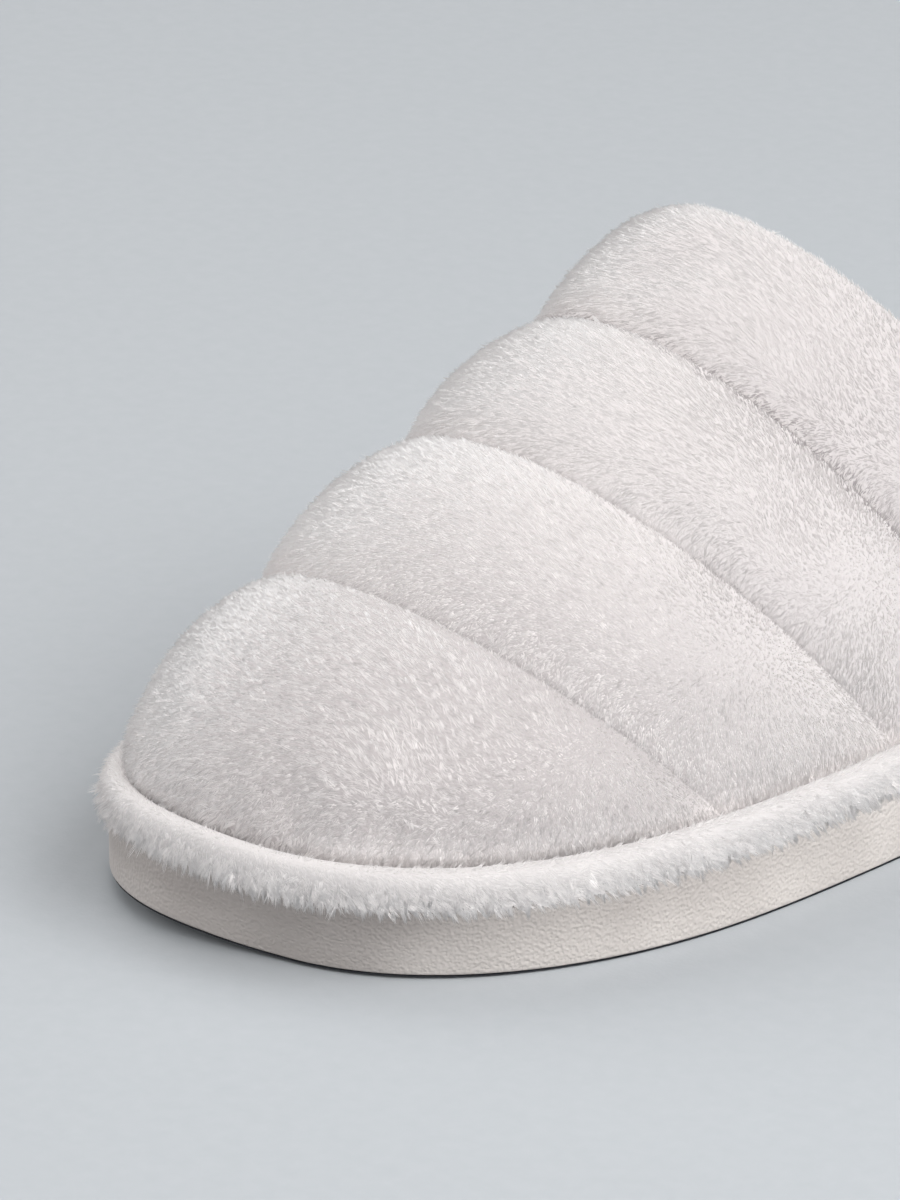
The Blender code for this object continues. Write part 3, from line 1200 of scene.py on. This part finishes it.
    def swollen(self) -> Array:
        """Blow the cover up as cloth that is sewn down along its seams and edges, and is slack in places.

        Returns:
            A capped move in metres for each point of the cover.
        """
        scene = bpy.context.scene
        mesh = self.flat_mesh.copy()
        mesh.vertices.foreach_set("co", self.cover.ravel())
        cloth_piece = bpy.data.objects.new("cover_cloth", mesh)
        scene.collection.objects.link(cloth_piece)
        _, part = LAST.channel_of(self.row)
        near_seam = np.minimum(part, 1.0 - part) < self.pinned_reach
        held = near_seam | (np.abs(self.across) > 1.0 - self.pinned_reach / 2) | (self.on_margin > 0.0)
        sewn = cloth_piece.vertex_groups.new(name="sewn")
        sewn.add(np.flatnonzero(held).tolist(), 1.0, "REPLACE")
        slack = cloth_piece.vertex_groups.new(name="slack")
        patches = SoftNoise(self.slack_size, Seed.SLACK).at(self.cover)
        for number, weight in enumerate(smoothstep(0.5 + 0.5 * patches)):
            slack.add([number], weight, "REPLACE")
        cloth = cloth_piece.modifiers.new("cloth", "CLOTH")
        cloth.settings.quality = self.cloth_quality
        cloth.settings.mass = self.cloth_mass
        cloth.settings.tension_stiffness = self.cloth_tension
        cloth.settings.compression_stiffness = self.cloth_tension
        cloth.settings.shear_stiffness = self.cloth_tension / 2
        cloth.settings.bending_stiffness = self.cloth_bending
        cloth.settings.vertex_group_shrink = "slack"
        cloth.settings.shrink_min = 0.0
        cloth.settings.shrink_max = -self.cloth_slack
        cloth.settings.use_pressure = True
        cloth.settings.uniform_pressure_force = self.cloth_pressure
        cloth.settings.effector_weights.gravity = 0.0
        cloth.settings.vertex_group_mass = "sewn"
        cloth.collision_settings.use_collision = False
        cloth.point_cache.frame_end = self.swell_frames
        for number in range(1, self.swell_frames + 1):
            scene.frame_set(number)
        swollen = cloth_piece.evaluated_get(bpy.context.evaluated_depsgraph_get()).data
        move = read_rows(swollen.vertices, "co") - self.cover
        bpy.data.objects.remove(cloth_piece)
        scene.frame_set(1)
        far = np.linalg.norm(move, axis=1, keepdims=True)
        limit = self.swell_limit * MM
        LOG.info("cover swells by up to %.2f mm, %.2f mm on the whole", far.max() / MM, far.mean() / MM)
        return unit(move) * limit * np.tanh(far / limit)

    def close(self) -> None:
        """Join cover and lining into one closed shell."""
        shape = bmesh.new()
        shape.from_mesh(self.flat_mesh)
        shape.verts.ensure_lookup_table()
        move_to(shape.verts, self.cover)
        inner = bmesh.ops.duplicate(shape, geom=shape.verts[:] + shape.edges[:] + shape.faces[:])["geom"]
        move_to(verts_in(inner), self.lining)
        bmesh.ops.reverse_faces(shape, faces=[part for part in inner if isinstance(part, bmesh.types.BMFace)])
        rim = [edge for edge in shape.edges if edge.is_boundary]
        bmesh.ops.bridge_loops(shape, edges=rim)
        self.mesh = mesh_of("upper_shell", shape)
        # The backing is painted dark as shade between the hairs, paler on the far side, and the bare margin
        # paler still.
        tones = np.interp(self.row, np.arange(LAST.channels + 1), self.painted_gap_shade_tones)
        tones += self.far_calm * self.on_far_side(self.across) * (self.painted_gap_shade_tones[-1] - tones)
        # Painted light on the backing just above the roll's near side.
        tones += self.by_roll(self.cover, self.across) * np.maximum(self.painted_light_backing - tones, 0.0)
        set_tones(self.mesh, np.tile(np.where(self.on_margin > 0.0, self.margin_tone, tones), 2))

    def on_far_side(self, across: Array) -> Array:
        """How far over on the right side a place is, where the nap points downhill and lies smooth."""
        return smoothstep((self.far_start - across) / self.far_share)

    def sideways(self) -> Array:
        """The direction across the foot at each point of the cover, towards the wearer's left."""
        step = 0.005
        beyond = LAST.lining_points(self.row, np.clip(self.across + step, -1.0, 1.0))
        before = LAST.lining_points(self.row, np.clip(self.across - step, -1.0, 1.0))
        return unit(beyond - before)

    def plush(self) -> None:
        """Grow the pile of the cover, a piece for each channel, and that of the lining."""
        count = len(self.cover)
        inside = np.arange(len(self.mesh.vertices)) >= count
        row = np.tile(self.row, 2)
        on_margin = np.tile(self.on_margin, 2) > 0.0
        sideways = np.tile(self.sideways(), (2, 1))
        skin = Skin.of(self.mesh, row=row, across=np.tile(self.across, 2), sideways=sideways)
        channel, _ = LAST.channel_of(row)
        self.piles = []
        for number, hairs in enumerate(self.hairs_per_channel):
            depth = self.depth_per_channel[number]
            style = replace(
                self.style,
                hairs=hairs,
                length=self.style.length * (self.calm_length - self.depth_shortening * depth),
                tuft_lean=self.style.tuft_lean * depth,
                tuft_turn=self.style.tuft_turn * depth,
            )
            pile = Pile(style, seed=Seed.UPPER_PILE + CHANNEL_SEED_STEP * number)
            roots = pile.sow(skin, (~inside & ~on_margin & (channel == number)).astype(float))
            ruffle = self.ruffle(roots)
            calm = 1.0 - self.far_calm * self.on_far_side(roots.values["across"])
            growth = Growth(
                flow=self.nap(roots),
                length=self.trim(roots) * (1.0 + self.ruffle_length * ruffle),
                ruffle=ruffle,
                shade=self.shade_per_channel[number] + self.shade(roots),
                depth=self.contrasts[number] * (1.0 + self.ruffle_contrast * ruffle) * calm,
            )
            self.piles.append(pile.grow(f"upper_pile_{number + 1}", roots, growth))
        pile = Pile(self.lining_style, seed=Seed.LINING_PILE)
        roots = pile.sow(skin, (inside & ~on_margin).astype(float))
        flow = np.tile(self.lining_flow, (len(roots.points), 1))
        self.lining_pile = pile.grow("lining_pile", roots, Growth(flow))

    def trim(self, roots: Roots) -> Array:
        """Share of a hair's length that is left by the seams and at the collar's rim."""
        rim = smoothstep((roots.values["row"] - LAST.channels) / self.rim_share + 1.0)
        seam = self.at_seam(roots, self.seam_trim_share)
        return (1.0 - self.seam_trim * seam) * (1.0 - self.rim_trim * rim)

    def shade(self, roots: Roots) -> Array:
        """How much painted shade darkens the nap: more in the seams and on the far side, painted light by the
        roll.
        """
        row = roots.values["row"]
        seam = np.clip(np.rint(row), 1, LAST.channels - 1).astype(int)
        reach = np.array(self.seam_shade_shares)[seam - 1]
        in_seam = np.array(self.seam_shades)[seam - 1] * self.at_seam(roots, reach)
        channel, _ = LAST.channel_of(row)
        far = np.array(self.far_shades)[channel] * self.on_far_side(roots.values["across"])
        marked = sum(mark.shade * mark.closeness(roots.points) for mark in NAP_MARKS)
        by_roll = self.painted_light_by_roll * self.by_roll(roots.points, roots.values["across"])
        return in_seam + far + marked - by_roll

    def by_roll(self, points: Array, across: Array) -> Array:
        """How close above the plush roll's near side points stand: 1 beside it, 0 some way up."""
        rise = points[:, 2] / MM - LAST.feather_height(LAST.station_of(points))
        near = smoothstep((across - self.painted_light_start) / self.painted_light_share)
        return near * (1.0 - smoothstep(rise / self.painted_light_height))

    def at_seam(self, roots: Roots, reach: Array | float) -> Array:
        """How close each root stands to a seam: 1 on it, 0 from a share of a channel away."""
        row = roots.values["row"]
        row = row + self.seam_waver * SoftNoise(self.waver_size, Seed.WAVER).at(roots.points)
        gap = np.abs(row - np.clip(np.rint(row), 1.0, LAST.channels - 1.0))
        return 1.0 - smoothstep(gap / reach)

    def behind_seam(self, roots: Roots) -> Array:
        """How close behind a seam each root stands: 1 at the seam, 0 some way up the channel."""
        channel, part = LAST.channel_of(roots.values["row"])
        return np.where(channel > 0, 1.0 - smoothstep(part / self.seam_ruffle_share), 0.0)

    def low_on_toe(self, roots: Roots) -> Array:
        """How low on the toe's channel each root stands: 1 at the feather, 0 on top."""
        return 1.0 - smoothstep((roots.values["row"] - self.toe_ruffle_start) / self.toe_ruffle_share)

    def low_on_side(self, roots: Roots) -> Array:
        """How low on the sides each root stands: 1 at the feather, 0 on top."""
        return smoothstep((np.abs(roots.values["across"]) - self.side_ruffle_start) / self.side_ruffle_share)

    def ruffle(self, roots: Roots) -> Array:
        """How ruffled the nap is: most low on the toe, less behind the seams and low on the sides."""
        behind = self.seam_ruffle * self.behind_seam(roots)
        beside = self.side_ruffle * self.low_on_side(roots)
        parts = (self.low_on_toe(roots), behind, beside)
        swing = SoftNoise(self.patch_size, Seed.RUFFLE).at(roots.points)
        patches = self.patch_middle + self.patch_swing * swing
        ruffled = np.clip(np.maximum.reduce(parts) * patches, 0.0, 1.0)
        return ruffled + (self.far_ruffle - ruffled) * self.on_far_side(roots.values["across"])

    def nap(self, roots: Roots) -> Array:
        """The way that the nap is brushed.

        It runs across the foot on the tops of the channels, and turns towards the toe low down and behind a
        seam.

        Args:
            roots: The roots of the hairs.

        Returns:
            A direction for each hair.
        """
        parts = (self.low_on_toe(roots), self.behind_seam(roots), self.low_on_side(roots))
        angle = self.top_nap + (self.low_nap - self.top_nap) * np.maximum.reduce(parts)
        for mark in NAP_MARKS:
            angle += mark.turn * mark.closeness(roots.points)
        turn = np.radians(angle)[:, None]
        side = roots.values["sideways"]
        return side * np.cos(turn) + np.cross(side, roots.normals) * np.sin(turn)

    def dress(self) -> None:
        """Finish the pieces and stand them for the solid."""
        shell = put("upper_shell", self.mesh, QUILT_FINISH.backing())
        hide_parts(Node.UPPER.value)
        hair = QUILT_FINISH.pile()
        for mesh in [*self.piles, self.lining_pile]:
            put_pile(mesh, hair)


@dataclass
class Rand:
    """The plush roll round the upper edge of the sole: smooth on top, with a shaggy fringe over the wall."""

    inset: float = 0.7
    half_width: float = 2.5
    half_height: float = 3.1
    squareness: float = 2.4
    outer_trim: float = 0.7
    top_trim: float = 0.4
    steps: int = 420
    sides: int = 18
    shag_station: float = 70.0
    shag_fade: float = 70.0
    heel_thinning: float = 0.55
    blend: float = 1.5
    outside_start: float = 0.2
    top_start: float = 0.5
    top_inner_start: float = 1.0
    inner_start: float = -0.2
    inner_trim: float = 0.5
    # Below this height the roll's backing is painted darker, as shade.
    backing_end: float = 0.4
    nap_lowest: float = -0.9
    nap_fall: float = 0.35
    nap_contrast: float = 0.3
    fringe_lowest: float = -0.95
    fringe_blend: float = 1.6
    fringe_start: float = 0.5
    fringe_fall: float = 1.0
    fringe_droop: float = 0.12
    fringe_contrast: float = 1.8
    heel_calm: float = 1.2
    heel_trim: float = 0.35
    spread: float = 0.6
    sweep: float = 0.55
    far_press: float = 2.4
    facing_up: float = 3.0
    # The roll's backing is painted dark, as painted shade between its hairs, darker still low on the roll.
    backing_tone: float = 0.2
    # Painted shade on the roll's inner side, where it meets the upper.
    inner_shade: float = 0.5
    # The nap on top is toned darker and the fringe paler: painted shade on the roll's top and painted light
    # low on it; their roots are painted darker.
    nap_style: PileStyle = PileStyle(hairs=30000, length=1.5, width=0.22, lean=66.0, tuft_pull=0.3, tone=0.45)
    fringe_style: PileStyle = PileStyle(
        hairs=28000, length=2.1, width=0.17, lean=50.0, tuft=9, tuft_pull=0.8, tuft_turn=36.0, tuft_lean=14.0,
        tuft_fleck=0.34, tone=0.9, root_shade=0.9, unevenness=0.16,
    )

    def build(self) -> None:
        """Sweep the roll's section round the sole and grow its pile."""
        path = LAST.outline(self.inset, self.steps)
        self.outward = outward_of(path)
        self.path = path - self.outward * self.far_press * LAST.on_far_side(path)[:, None]
        self.ahead = np.stack([-self.outward[:, 1], self.outward[:, 0]], axis=1)
        self.centre = LAST.edge_top(self.path[:, 1]) + GAP + self.half_height
        shape, flat = grid(self.sides, self.steps)
        turn = math.tau * (flat[:, 0] + 0.5)
        step = np.rint((flat[:, 1] + 0.5) * self.steps).astype(int) % self.steps
        wide = np.copysign(np.abs(np.cos(turn)) ** (2 / self.squareness), np.cos(turn))
        tall = np.copysign(np.abs(np.sin(turn)) ** (2 / self.squareness), np.sin(turn))
        reach = wide * (self.half_width - np.where(wide > 0.0, self.outer_trim, 0.0))
        rise = tall * (self.half_height - np.where(tall > 0.0, self.top_trim, 0.0))
        across = self.path[step, 0] + self.outward[step, 0] * reach
        station = self.path[step, 1] + self.outward[step, 1] * reach
        move_to(shape.verts, LAST.placed(across, station, self.centre[step] + rise))
        bmesh.ops.remove_doubles(shape, verts=shape.verts[:], dist=WELD)
        bmesh.ops.recalc_face_normals(shape, faces=shape.faces[:])
        self.mesh = mesh_of("rand_roll", shape)
        self.plush()

    def plush(self) -> None:
        """Grow the smooth nap on top and the shaggy fringe below it."""
        skin = Skin.of(self.mesh)
        places = np.stack([skin.points[:, 0] / MM, LAST.station_of(skin.points)], axis=1)
        gaps = ((places[:, None] - self.path[None]) ** 2).sum(axis=2)
        step = gaps.argmin(axis=1)
        out = ((places - self.path[step]) * self.outward[step]).sum(axis=1) / self.half_width
        high = (skin.points[:, 2] / MM - self.centre[step]) / self.half_height
        level = np.zeros((len(step), 1))
        skin.values["outward"] = np.hstack([self.outward[step], level])
        skin.values["ahead"] = np.hstack([self.ahead[step], level])
        skin.values["high"] = high
        thick = 1.0 - self.heel_thinning * smoothstep((places[:, 1] - LAST.ball_station) / LAST.ball_station)
        skin.values["out"] = out
        # Painted shade on the backing between the hairs, darkest low on the roll.
        set_tones(self.mesh, self.backing_tone * (1.0 - smoothstep(self.backing_end - high)))
        outside = smoothstep(self.blend * out + self.outside_start)
        not_inside = smoothstep(self.blend * out + self.top_inner_start)
        on_top = smoothstep(self.blend * high + self.top_start) * not_inside
        nap = Pile(self.nap_style, seed=Seed.ROLL_NAP)
        roots = nap.sow(skin, thick * np.maximum(on_top, outside * (high > self.nap_lowest)))
        inner = smoothstep(self.inner_start - self.blend * roots.values["out"])
        # The nap on the roll's inner side gets painted shade.
        growth = Growth(
            flow=self.flow(roots, self.nap_fall),
            length=1.0 - self.inner_trim * inner,
            shade=self.inner_shade * inner,
            depth=self.nap_contrast,
            facing=self.facing(roots),
        )
        self.nap = nap.grow("rand_nap", roots, growth)
        fringe = Pile(self.fringe_style, seed=Seed.ROLL_FRINGE)
        low = smoothstep(self.fringe_start - self.fringe_blend * high)
        roots = fringe.sow(skin, thick * outside * (high > self.fringe_lowest) * low)
        behind = smoothstep((LAST.station_of(roots.points) - self.shag_station) / self.shag_fade)
        growth = Growth(
            flow=self.flow(roots, self.fringe_fall),
            length=1.0 - self.heel_trim * behind,
            droop=self.fringe_droop,
            depth=self.fringe_contrast - self.heel_calm * behind,
            facing=self.facing(roots),
        )
        self.fringe = fringe.grow("rand_fringe", roots, growth)

    def facing(self, roots: Roots) -> Array:
        """The direction that light reaches the roll's hairs from: outwards and from above."""
        return unit(roots.values["outward"] + np.array([0.0, 0.0, self.facing_up]))

    def flow(self, roots: Roots, fall: float) -> Array:
        """The way that the roll's nap is brushed: outwards and down, and swept along the roll.

        Args:
            roots: The roots of the hairs.
            fall: How strongly it is brushed down.

        Returns:
            A direction for each hair.
        """
        down = np.array([0.0, 0.0, -fall])
        return self.spread * roots.values["outward"] + self.sweep * roots.values["ahead"] + down

    def dress(self) -> None:
        """Finish the pieces and stand them for the solid."""
        roll = put("rand_roll", self.mesh, ROLL_FINISH.backing())
        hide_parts(Node.RAND.value)
        hair = ROLL_FINISH.pile()
        for mesh in (self.nap, self.fringe):
            put_pile(mesh, hair)


def plate(outline: Array, bottom: Height, top: Height, cuts: Array) -> bmesh.types.BMesh:
    """A closed plate over the sole's plan: its outline filled, cut across and extruded upwards.

    Args:
        outline: Rows of place across and station.
        bottom: Height of the under face at a station.
        top: Height of the upper face at a station.
        cuts: Stations where the faces are cut across, so that they can bend there.

    Returns:
        The plate.
    """
    shape = bmesh.new()
    bmesh.ops.create_circle(shape, cap_ends=True, segments=len(outline), radius=1.0)
    for vert, (across, station) in zip(shape.verts, outline):
        vert.co = LAST.placed(across, station, 0.0)
    for cut in cuts:
        geometry = shape.verts[:] + shape.edges[:] + shape.faces[:]
        place = LAST.placed(0.0, cut, 0.0)
        bmesh.ops.bisect_plane(shape, geom=geometry, plane_co=place, plane_no=(0.0, 1.0, 0.0))
    under = shape.verts[:]
    raised = bmesh.ops.extrude_face_region(shape, geom=shape.faces[:])["geom"]
    for vert in under:
        vert.co.z = bottom(LAST.station_of(vert.co)) * MM
    for vert in verts_in(raised):
        vert.co.z = top(LAST.station_of(vert.co)) * MM
    settle_order(shape)
    bmesh.ops.recalc_face_normals(shape, faces=shape.faces[:])
    return shape


@dataclass(frozen=True)
class Ring:
    """One line of a band round the sole: its inset, its rise over a height of the sole, its share of tuck."""

    inset: float
    base: Height
    rise: float = 0.0
    tuck: float = 0.0


def band(rings: list[Ring], steps: int) -> bmesh.types.BMesh:
    """A solid whose side is a band round the sole's plan, closed by a face at both ends.

    Args:
        rings: The lines of the band, from its upper end down.
        steps: Number of places round the sole.

    Returns:
        The solid.
    """
    last = len(rings) - 1
    shape, _ = grid(last, steps)
    outlines = [LAST.tucked(LAST.outline(ring.inset, steps), ring.tuck) for ring in rings]
    for vert in shape.verts:
        number = round((vert.co.x + 0.5) * last)
        across, station = outlines[number][round((vert.co.y + 0.5) * steps) % steps]
        height = rings[number].base(station) + rings[number].rise
        vert.co = LAST.placed(across, station, height - rings[number].tuck * LAST.settling(across, station))
    bmesh.ops.remove_doubles(shape, verts=shape.verts[:], dist=WELD)
    bmesh.ops.holes_fill(shape, edges=[edge for edge in shape.edges if edge.is_boundary], sides=0)
    bmesh.ops.recalc_face_normals(shape, faces=shape.faces[:])
    return shape


@dataclass
class Platform:
    """The wrapped platform, whose pale wall shows all round, down to the thin line of the tread."""

    edge_radius: float = 0.5
    edge_segments: int = 4
    wall_rows: int = 4
    top_width: float = 5.0
    steps: int = 420
    tone: float = 0.85
    mottle: float = 0.05
    mottle_size: float = 14.0
    # The next six paint the wall: a painted shadow of the roll's fringe towards the top of the wall, fading
    # back from the front, and painted shade over the whole wall at the toe.
    shade: float = 0.5
    shade_station: float = 40.0
    shade_fade: float = 60.0
    toe_shade: float = 0.5
    toe_shade_station: float = 4.0
    toe_shade_fade: float = 18.0

    def lip_bottom(self, station: Array) -> Array:
        """Height of the wall's lower edge."""
        return LAST.wall_bottom(station) - LAST.wall_lip

    def build(self) -> None:
        """Sweep the wall with its rounded lower edge."""
        rings = [Ring(self.top_width, LAST.edge_top), Ring(0.0, LAST.edge_top)]
        straight = LAST.wall_height + LAST.wall_lip - self.edge_radius
        for row in range(1, self.wall_rows):
            part = row / self.wall_rows
            rings.append(Ring(0.0, self.lip_bottom, self.edge_radius + straight * (1.0 - part), part))
        for turn in np.linspace(0.0, math.pi / 2, self.edge_segments + 1):
            rings.append(
                Ring(
                    self.edge_radius * (1.0 - math.cos(turn)),
                    self.lip_bottom,
                    self.edge_radius * (1.0 - math.sin(turn)),
                    1.0,
                )
            )
        self.mesh = mesh_of("platform_wall", band(rings, self.steps))
        self.mesh.set_sharp_from_angle(angle=SHARP_ANGLE)
        self.tint()

    def tint(self) -> None:
        """Mottle the leather a little, and paint shadow under the roll's shaggy fringe and shade at the toe.
        """
        points = read_rows(self.mesh.vertices, "co")
        station = LAST.station_of(points)
        hung = smoothstep((points[:, 2] / MM - self.lip_bottom(station)) / LAST.wall_height)
        front = 1.0 - smoothstep((station - self.shade_station) / self.shade_fade)
        toe = 1.0 - smoothstep((station - self.toe_shade_station) / self.toe_shade_fade)
        mottle = self.mottle * SoftNoise(self.mottle_size, Seed.LEATHER).at(points)
        # Painted shadow under the fringe, and painted shade at the toe.
        set_tones(self.mesh, self.tone + mottle - self.shade * hung * front - self.toe_shade * toe)

    def dress(self) -> None:
        """Finish the wall and stand it for the solid."""
        wall = put("platform_wall", self.mesh, LEATHER_FINISH.material())
        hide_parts(Node.MIDSOLE.value)


@dataclass
class Outsole:
    """The thin dark sheet that stands on the floor."""

    inset: float = 0.25
    steps: int = 300
    cuts: tuple[float, ...] = tuple(np.arange(6.0, 220.0, 6.0))

    def top(self, station: Array) -> Array:
        """Height of the sheet's upper face."""
        return LAST.floor_lift(station) + LAST.tread_show

    def build(self) -> None:
        """Raise the sheet over its outline."""
        outline = LAST.tucked(LAST.outline(self.inset, self.steps), 1.0)
        shape = plate(outline, LAST.floor_lift, self.top, self.cuts)
        for vert in shape.verts:
            vert.co.z -= LAST.settling(vert.co.x / MM, LAST.station_of(vert.co)) * MM
        self.mesh = mesh_of("tread_sheet", shape)
        self.mesh.set_sharp_from_angle(angle=SHARP_ANGLE)

    def dress(self) -> None:
        """Finish the sheet and stand it for the solid."""
        sheet = put("tread_sheet", self.mesh, RUBBER_FINISH.material())
        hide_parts(Node.OUTSOLE.value)


@dataclass
class Footbed:
    """The padded plush footbed on top of the platform."""

    thickness: float = 5.2
    toe_inset: float = 7.0
    heel_inset: float = 3.7
    step_start: float = 1.0
    step_length: float = 6.0
    edge_round: float = 7.0
    edge_drop: float = 2.0
    edge_angle: float = 60.0
    pile_depth: float = 0.9
    pile_station: float = 100.0
    pile_fade: float = 40.0
    hidden_share: float = 0.15
    brushed: tuple[float, float, float] = (0.1, 1.0, 0.0)
    backing_tone: float = 0.4
    columns: int = 40
    rows: int = 100
    style: PileStyle = PileStyle(hairs=18000, length=1.7, width=0.28, lean=42.0, swirl=60.0)

    def inset_at(self, station: Array) -> Array:
        """Inset of the footbed: inside the upper's wall at the front, out to the plush roll at the heel."""
        behind = (station - LAST.seams[-1].foot - self.step_start) / self.step_length
        return self.toe_inset + (self.heel_inset - self.toe_inset) * smoothstep(behind)

    def build(self) -> None:
        """Lay a grid over the sole's plan, crown it and close it underneath."""
        shape, flat = grid(self.columns, self.rows)
        turn = np.sin(math.pi * flat[:, 0])
        along = 0.5 + 0.5 * np.sin(math.pi * flat[:, 1])
        station = self.toe_inset + along * (LAST.sole_length - self.toe_inset - self.heel_inset)
        reach = LAST.half_width(station, self.inset_at(station))
        edge = (1.0 - np.abs(turn)) * reach
        drop = self.edge_drop * (1.0 - round_off(1.0 - edge / self.edge_round, 2.0))
        height = LAST.platform_top(station) + GAP + self.thickness - self.pile_depth - drop
        across = LAST.centre_line(station) + turn * reach
        move_to(shape.verts, LAST.placed(across, station, height))
        bmesh.ops.remove_doubles(shape, verts=shape.verts[:], dist=WELD)
        self.top = Skin.of(mesh_of("footbed_top", shape.copy()))
        raised = bmesh.ops.extrude_face_region(shape, geom=shape.faces[:])["geom"]
        for vert in verts_in(raised):
            vert.co.z = (LAST.platform_top(LAST.station_of(vert.co)) + GAP) * MM
        settle_order(shape)
        bmesh.ops.recalc_face_normals(shape, faces=shape.faces[:])
        self.mesh = mesh_of("footbed_pad", shape)
        set_tones(self.mesh, np.full(len(self.mesh.vertices), self.backing_tone))
        self.mesh.set_sharp_from_angle(angle=math.radians(self.edge_angle))
        self.plush()

    def plush(self) -> None:
        """Grow the pile, thickest where the footbed shows behind the upper."""
        station = LAST.station_of(self.top.points)
        shown = smoothstep((station - self.pile_station) / self.pile_fade)
        keep = self.hidden_share + (1.0 - self.hidden_share) * shown
        pile = Pile(self.style, seed=Seed.FOOTBED_PILE)
        self.top.normals = np.copysign(1.0, self.top.normals[:, 2:]) * self.top.normals
        roots = pile.sow(self.top, keep)
        flow = np.tile(np.array(self.brushed), (len(roots.points), 1))
        self.pile = pile.grow("footbed_pile", roots, Growth(flow))

    def dress(self) -> None:
        """Finish the pieces and stand them for the solid."""
        pad = put("footbed_pad", self.mesh, FOOTBED_FINISH.backing())
        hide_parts(Node.INSOLE.value)
        put_pile(self.pile, FOOTBED_FINISH.pile())


@dataclass(frozen=True)
class Lamp:
    """A soft box: where it stands about the slipper, its size in metres and its power in watts."""

    name: str
    azimuth: float
    elevation: float
    distance: float
    size: float
    power: float
    colour: Colour = (1.0, 1.0, 1.0)


@dataclass
class Studio:
    """Floor, soft boxes and camera at the photograph's angle."""

    azimuth: float = 44.4
    elevation: float = 21.76
    target: tuple[float, float, float] = (3.06, -79.83, 41.2)
    pixels_per_mm: float = 7.03
    focal_pixels: float = 8000.0
    frame_height: float = 1200.0
    sensor: float = 36.0
    camera_reach: float = 50.0
    floor_radius: float = 9.0
    floor_sides: int = 96
    floor_drop: float = 0.05
    sky: Colour = (0.97, 0.985, 1.0)
    sky_strength: float = 0.12
    lamps: tuple[Lamp, ...] = (
        Lamp("front_right", azimuth=60.0, elevation=40.0, distance=1.6, size=1.2, power=10.2),
        Lamp("right_high", azimuth=105.0, elevation=48.0, distance=1.6, size=1.2, power=12.2),
        Lamp("right_low", azimuth=100.0, elevation=25.0, distance=1.6, size=1.2, power=6.5),
        Lamp("right_back", azimuth=140.0, elevation=40.0, distance=1.6, size=1.2, power=7.6),
        Lamp("front_left_low", azimuth=0.0, elevation=20.0, distance=1.6, size=1.6, power=6.0),
        Lamp("left_low", azimuth=-60.0, elevation=20.0, distance=1.6, size=1.6, power=13.3),
        Lamp("left_back", azimuth=-110.0, elevation=50.0, distance=1.6, size=1.2, power=8.0),
    )

    def facing(self, azimuth: float, elevation: float) -> Matrix:
        """Axes of something that looks at the slipper from an azimuth and an elevation."""
        turn = math.radians(azimuth)
        rise = math.radians(elevation)
        back = Vector((math.sin(turn) * math.cos(rise), -math.cos(turn) * math.cos(rise), math.sin(rise)))
        right = Vector((math.cos(turn), math.sin(turn), 0.0))
        return Matrix((right, back.cross(right), back)).transposed()

    def stand(self, name: str, data: bpy.types.ID, axes: Matrix, distance: float) -> bpy.types.Object:
        """Stand a lamp or a camera at a distance in metres from the target."""
        thing = bpy.data.objects.new(name, data)
        place = Vector(self.target) * MM + axes.col[2] * distance
        thing.matrix_world = Matrix.Translation(place) @ axes.to_4x4()
        bpy.context.scene.collection.objects.link(thing)
        return thing

    def build(self) -> None:
        """Make the floor, the lamps and the camera."""
        shape = bmesh.new()
        bmesh.ops.create_circle(shape, cap_ends=True, segments=self.floor_sides, radius=self.floor_radius)
        bmesh.ops.translate(shape, verts=shape.verts[:], vec=(0.0, 0.0, -self.floor_drop * MM))
        mesh = mesh_of("floor", shape)
        mesh.materials.append(FLOOR_FINISH.material())
        self.floor = bpy.data.objects.new("floor", mesh)
        bpy.context.scene.collection.objects.link(self.floor)
        for lamp in self.lamps:
            light = bpy.data.lights.new(lamp.name, "AREA")
            light.shape = "DISK"
            light.size = lamp.size
            light.energy = lamp.power
            light.color = lamp.colour
            box = self.stand(lamp.name, light, self.facing(lamp.azimuth, lamp.elevation), lamp.distance)
            box.visible_camera = False
        camera = bpy.data.cameras.new("camera")
        camera.sensor_width = self.sensor
        camera.lens = self.focal_pixels / self.frame_height * self.sensor
        camera.clip_end = self.camera_reach
        distance = self.focal_pixels / self.pixels_per_mm * MM
        axes = self.facing(self.azimuth, self.elevation)
        bpy.context.scene.camera = self.stand("camera", camera, axes, distance)

    def dress(self) -> None:
        """Set the sky and the plain view of colours."""
        world = bpy.data.worlds.new("studio_sky")
        world.use_nodes = True
        background = world.node_tree.nodes["Background"]
        background.inputs["Color"].default_value = (*self.sky, 1.0)
        background.inputs["Strength"].default_value = self.sky_strength
        bpy.context.scene.world = world
        bpy.context.scene.view_settings.view_transform = "Standard"


def main() -> None:
    """Build and dress the studio and each sub-assembly, and log each as it is done."""
    logging.basicConfig(level=logging.INFO, format="%(name)s: %(message)s")
    for assembly in (Studio(), Outsole(), Platform(), Rand(), Footbed(), Upper()):
        assembly.build()
        assembly.dress()
        LOG.info("%s done", type(assembly).__name__)


if __name__ == "__main__":
    main()
